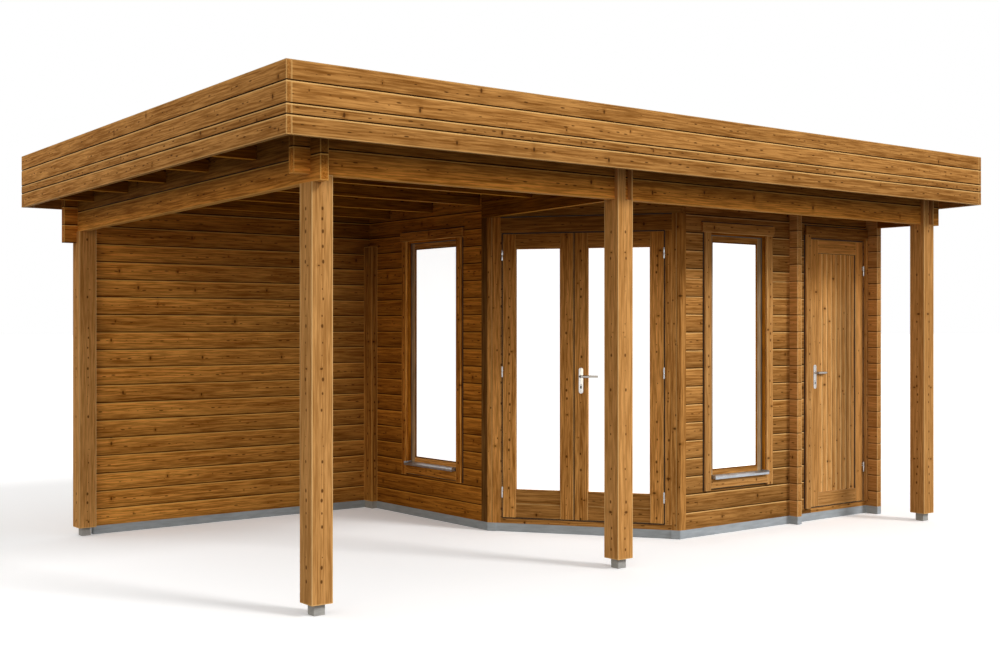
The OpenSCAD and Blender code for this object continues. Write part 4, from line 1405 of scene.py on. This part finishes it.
@dataclass
class DoorFrame:
    """Jambs, head and threshold of the double door."""

    left: float = 0.0891  # left edge of the frame
    right: float = 1.2483  # right edge of the frame
    jambs: Pair = (0.101, 1.2004)  # inner edges of the two jambs
    foot: float = 0.055  # foot of the threshold
    sill: float = 0.09  # top of the threshold
    head: float = 2.005  # underside of the head
    top: float = 2.1105  # top of the head
    thick: float = 0.07  # thickness of the frame
    joint: float = 0.0035  # width of the painted shadow lines round the leaves
    shade: float = 0.007  # height of the painted shadow line over the head

    def build(self) -> None:
        """Builds the frame."""
        (left, right), sill, head, top = self.jambs, self.sill, self.head, self.top
        xs, zs, deep = (self.left, left, right, self.right), (self.foot, sill, head, top), (0, self.thick)
        cuts = [Cut(x, end, sill, head, deep) for x, end in (xs[:2], xs[2:])]
        # Painted shade: the frame in the porch's shaded stain, head and threshold darker.
        DOORS.fit("door_jambs", DOORS.upright(xs, stain=PORCH_SHADE, seed=61, specks=DOTS), cuts, "door_frame")
        finish = DOORS.level(zs, stain=PORCH_SHADE, tone=0.85, seed=62)
        cuts = [Cut(self.left, self.right, z, end, deep) for z, end in (zs[:2], zs[2:])]
        DOORS.fit("door_head_and_threshold", finish, cuts, "door_frame")
        # Near-black seals, which also paint the shade in the gaps round the leaves.
        seals = [(x, x + SEAL_WIDE, sill, head) for x in (left, right - SEAL_WIDE)]
        seals += [(left, right, z, z + SEAL_WIDE) for z in (sill, head - SEAL_WIDE)]
        DOORS.fit("door_seals", SHADE_STRIP, [Cut(*seal, SEAL_DEEP, 0.0004) for seal in seals], "door_frame")
        # Painted shade: near-black lines round the leaves and over the head.
        lines = ((left, right, head, head + self.joint), (left, right, sill - self.joint, sill),
                 (left - self.joint, left, sill, head), (right, right + self.joint, sill, head))
        over = Cut(self.left, self.right, top, top + self.shade, (-0.002, 0), 0.0005)
        DOORS.fit("door_joints", SHADE_STRIP, [*(Cut(*line, (-0.001, 0), 0.0003) for line in lines), over])


@dataclass
class StorageDoor:
    """The plank door of the storage bay with its frame boards."""

    hole: float = 4.354  # left edge of the opening
    wall_end: float = 4.993  # right edge of the frame
    board: float = 0.068  # width of the left casing board
    x: float = 4.362  # left edge of the leaf
    width: float = 0.59  # the leaf's width
    jamb: float = 4.957  # left edge of the right jamb
    jamb_step: float = 0.014  # how much of the jamb shows beside its casing board
    foot: float = 0.055  # foot of the threshold
    sill: float = 0.09  # top of the threshold
    lintel: float = 2.005  # top of the opening
    casing_top: float = 2.027  # underside of the head board
    head: float = 0.066  # height of the head board
    field: Pair = (0.01, 0.036)  # front and back of the planks
    stile: float = 0.08  # width of a stile
    rail: float = 0.096  # height of a rail
    planks: int = 8  # number of planks
    proud: float = 0.02  # thickness of the casing boards
    reveal: float = 0.025  # how far the left casing board stays back from the opening
    wall: float = 0.045  # thickness of the wall
    painted_light: tuple[Fade, ...] = (Fade(Z, (1.4, 1.95), WHITE, (1.12, 1, 0.78)),)  # painted light over leaf and casing: warmer towards the top

    def frame(self) -> None:
        """Jamb, threshold and casing boards, with their seals and dark lines."""
        xs = (self.hole - self.board, self.hole, self.jamb, self.jamb + self.jamb_step, self.wall_end)
        zs = (self.foot, self.sill, self.casing_top, self.casing_top + self.head)
        left, right, sill, lintel = self.hole, self.jamb, self.sill, self.lintel
        edge, front, deep = left - self.reveal, (-self.proud, 0), (0, self.wall)
        finish = FRONT.upright(xs, seed=71, specks=DOTS, fades=self.painted_light)
        cuts = [Cut(xs[0], edge, sill, zs[2], front, 0.003),
                Cut(edge, left, sill, zs[2], (-0.004, 0), 0.001),
                Cut(xs[3], xs[4], sill, zs[2], front), Cut(right, xs[4], sill, lintel, deep)]
        FRONT.fit("storage_casing_sides", finish, cuts, "storage_frame")
        finish = FRONT.level(zs, stain=PORCH_SHADE, tone=0.9, seed=72)
        cuts = [Cut(xs[0], xs[4], *zs[2:], front, 0.003), Cut(left, xs[4], *zs[:2], deep)]
        FRONT.fit("storage_head_and_threshold", finish, cuts, "storage_frame")
        # Painted shade: near-black lines beside the casing boards and round the leaf.
        wide = ((xs[0] - 0.007, xs[0], sill, zs[2]), (xs[0], xs[4], zs[3], zs[3] + 0.007))
        fine = ((left, right, lintel, lintel + 0.004), (right, right + 0.006, sill, lintel),
                (left, right, sill - 0.003, sill))
        lines = [Cut(*line, (-0.005, 0), 0.0005) for line in wide]
        FRONT.fit("storage_joints", SHADE_STRIP, lines + [Cut(*line, (-0.001, 0), 0.0003) for line in fine])
        # Near-black seals, which also paint the shade round the leaf.
        seals = [(left, left + SEAL_WIDE + 0.001, sill, lintel), (right - SEAL_WIDE, right, sill, lintel)]
        seals += [(left, right, z, z + SEAL_WIDE) for z in (sill, lintel - SEAL_WIDE)]
        FRONT.fit("storage_seals", SHADE_STRIP, [Cut(*seal, SEAL_DEEP, 0.0004) for seal in seals], "storage_frame")

    def part(self, name: str, finish: Finish, cuts: list[Cut]) -> None:
        """Hangs one of the leaf's pieces on its body.

        Args:
            name: the piece's name.
            finish: its finish.
            cuts: its boards.
        """
        FRONT.fit(f"storage_leaf_{name}", finish, cuts, "storage_leaf", body=Body.STORAGE_DOOR)

    def leaf(self) -> None:
        """Stiles, rails and planks."""
        end, top = self.x + self.width, LEAF_FOOT + LEAF_HEIGHT
        xs = (self.x, self.x + self.stile, end - self.stile, end)
        zs = (LEAF_FOOT, LEAF_FOOT + self.rail, top - self.rail, top)
        self.part("stiles", FRONT.upright(xs, tone=1.04, seed=73, specks=SPARSE, fades=self.painted_light),
                  [Cut(x, x + self.stile, LEAF_FOOT, top, LEAF_DEEP, 0.0022) for x in (xs[0], xs[2])])
        self.part("rails", FRONT.level(zs, tone=0.98, seed=74, fades=self.painted_light),
                  [Cut(xs[1], xs[2], z, z + self.rail, LEAF_DEEP) for z in (zs[0], zs[2])])
        pitch = (xs[2] - xs[1]) / self.planks
        # Painted shade and highlight across each plank: darker towards one edge, a pale lip at the other.
        finish = Wood(Z, X, Courses(FRONT.at(xs[1]), pitch), OPEN_LIGHT, 1.1, 75, 0.0044, specks=SPARSE,
                      cracks=0.3, lip=0.9, curve=0.3, fades=self.painted_light)
        plank = Cut(xs[1], xs[1] + pitch, zs[1], zs[2], self.field, 0.0038).saw(finish.materials("planks"))
        row = copies(plank, [(pitch * count, 0, 0) for count in range(1, self.planks)])
        FRONT.hang(row, "storage_leaf_planks", "storage_leaf", body=Body.STORAGE_DOOR)
        # Painted shade: near-black strips in the recess beside the right stile and under the top rail.
        near = (self.field[0] - 0.0025, self.field[0])
        lines = [Cut(xs[2] - 0.009, xs[2], zs[1], zs[2], near, 0.0005),
                 Cut(xs[1], xs[2], zs[2] - 0.003, zs[2], near, 0.0005)]
        FRONT.fit("storage_field_shadow_lines", SHADE_STRIP, lines, body=Body.STORAGE_DOOR)

    def build(self) -> None:
        """Builds frame and leaf."""
        self.frame()
        self.leaf()


@dataclass
class Studio:
    """Floor, world, lamps and camera."""

    sun: Triple = (0.38, -0.8, 0.62)  # direction that the key light comes from
    low_sun: Triple = (-0.78, -0.6, 0.1)  # direction of the low warm light under the canopy
    energies: Pair = (1.7, 0.55)  # strengths of the two
    dome: float = 0.74  # strength of the surroundings
    floor_tone: float = 0.2  # how much light the floor throws back
    stand: Triple = (-5.631, -6.99, 1.378)  # the camera's place
    heading: float = -38.1  # its turn in degrees
    lens: float = 46.98

    def floor(self) -> None:
        """A wide pale floor that shows white and throws some light back."""
        select()
        bpy.ops.mesh.primitive_plane_add(size=400, location=(0, 0, -0.001))
        floor = bpy.context.object
        floor.name = "floor"
        g = Graph(bpy.data.materials.new("floor_white"))
        seen, tone = g.seen(), self.floor_tone
        g.shade({"Base Color": g.mix(seen, (tone, tone, tone), (0.95, 0.95, 0.95)), "Roughness": 1,
                 "Specular IOR Level": 0, "Emission Color": WHITE, "Emission Strength": seen * 0.22})
        floor.data.materials.append(g.owner)
        floor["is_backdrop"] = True

    def world(self) -> None:
        """White surroundings."""
        world = bpy.data.worlds.new("studio")
        bpy.context.scene.world = world
        g = Graph(world, "Background")
        g.shade({"Color": WHITE, "Strength": g.seen().times_plus(1 - self.dome, self.dome)})

    def lamps(self) -> None:
        """One soft sun, and a very soft low one that looks in under the canopy."""
        warm = (1, 0.81, 0.52)
        for name, way, energy, angle, colour in (("sun", self.sun, self.energies[0], 14, WHITE),
                                                 ("fill", self.low_sun, self.energies[1], 45, warm)):
            data = bpy.data.lights.new(name, "SUN")
            data.energy = energy
            data.angle = math.radians(angle)
            data.color = colour
            lamp = bpy.data.objects.new(name, data)
            bpy.context.scene.collection.objects.link(lamp)
            lamp.rotation_mode = "QUATERNION"
            lamp.rotation_quaternion = Vector(way).to_track_quat("Z", "Y")

    def camera(self) -> None:
        """A level camera, turned to see front and left side, with its horizon a little above the middle."""
        data = bpy.data.cameras.new("camera")
        data.lens = self.lens
        data.sensor_width = 36
        data.shift_y = -0.00885
        camera = bpy.data.objects.new("camera", data)
        bpy.context.scene.collection.objects.link(camera)
        camera.location = self.stand
        camera.rotation_euler = (math.radians(90), 0, math.radians(self.heading))
        bpy.context.scene.camera = camera

    def build(self) -> None:
        """Builds the studio."""
        self.camera()
        self.floor()
        self.world()
        self.lamps()


def main() -> None:
    """Builds and dresses everything."""
    logging.basicConfig(level=logging.INFO, format="%(message)s")
    bpy.context.scene.view_settings.view_transform = "Standard"
    Studio().build()
    Frame().build()
    Walls().build()
    Roof().build()
    for node in ("window_glass", "left_leaf_glass", "right_leaf_glass"):
        dress(node, PANE)
    dress("window_sills", SILL)
    Window("front_window", FRONT, 3.5866, 0.712, 81).build()
    # Painted light and shade: the side window's casing in the beam's shaded stain, its lining and sash
    # lighter.
    Window("side_window", SIDE, 0.8343, 0.771, 91, BEAM_SHADE, 1.1, (1, 1.2, 1.3)).build()
    DoorFrame().build()
    GlazedLeaf("left_leaf", Body.LEFT_DOOR, 0.106, 0.486, 101, 0.0045).build()
    GlazedLeaf("right_leaf", Body.RIGHT_DOOR, 0.6, 0.5954, 111).build()
    StorageDoor().build()
    Hinge("left_door", DOORS, 0.1035, 1, Body.LEFT_DOOR).build("left_leaf_hinges")
    Hinge("right_door", DOORS, 1.1979, -1, Body.RIGHT_DOOR).build("right_leaf_fittings")
    Hinge("storage_door", FRONT, 4.9545, -1, Body.STORAGE_DOOR, (0.31, 1.754)).build("storage_leaf_fittings")
    right = Handles("right_door", DOORS, 0.6445, Body.RIGHT_DOOR, Body.RIGHT_LEVER)
    right.plates("right_leaf_fittings")
    right.levers("right_leaf_lever")
    storage = Handles("storage_door", FRONT, 4.402, Body.STORAGE_DOOR, Body.STORAGE_LEVER)
    storage.plates("storage_leaf_fittings")
    storage.levers("storage_lever")
    for node in ("left_leaf_hinges", "right_leaf_fittings", "storage_leaf_fittings", "fixed_hinges",
                 "right_leaf_lever", "storage_lever"):
        dress(node, STEEL)
    for node in ("window_casings", "window_sashes", "left_leaf", "right_leaf", "storage_leaf",
                 "storage_frame", "door_frame", "roof_boards"):
        low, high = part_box(node)
        dress(node, Wood(Z, X, Edges((low.x, high.x))))
    low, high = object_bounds()


if __name__ == "__main__":
    main()
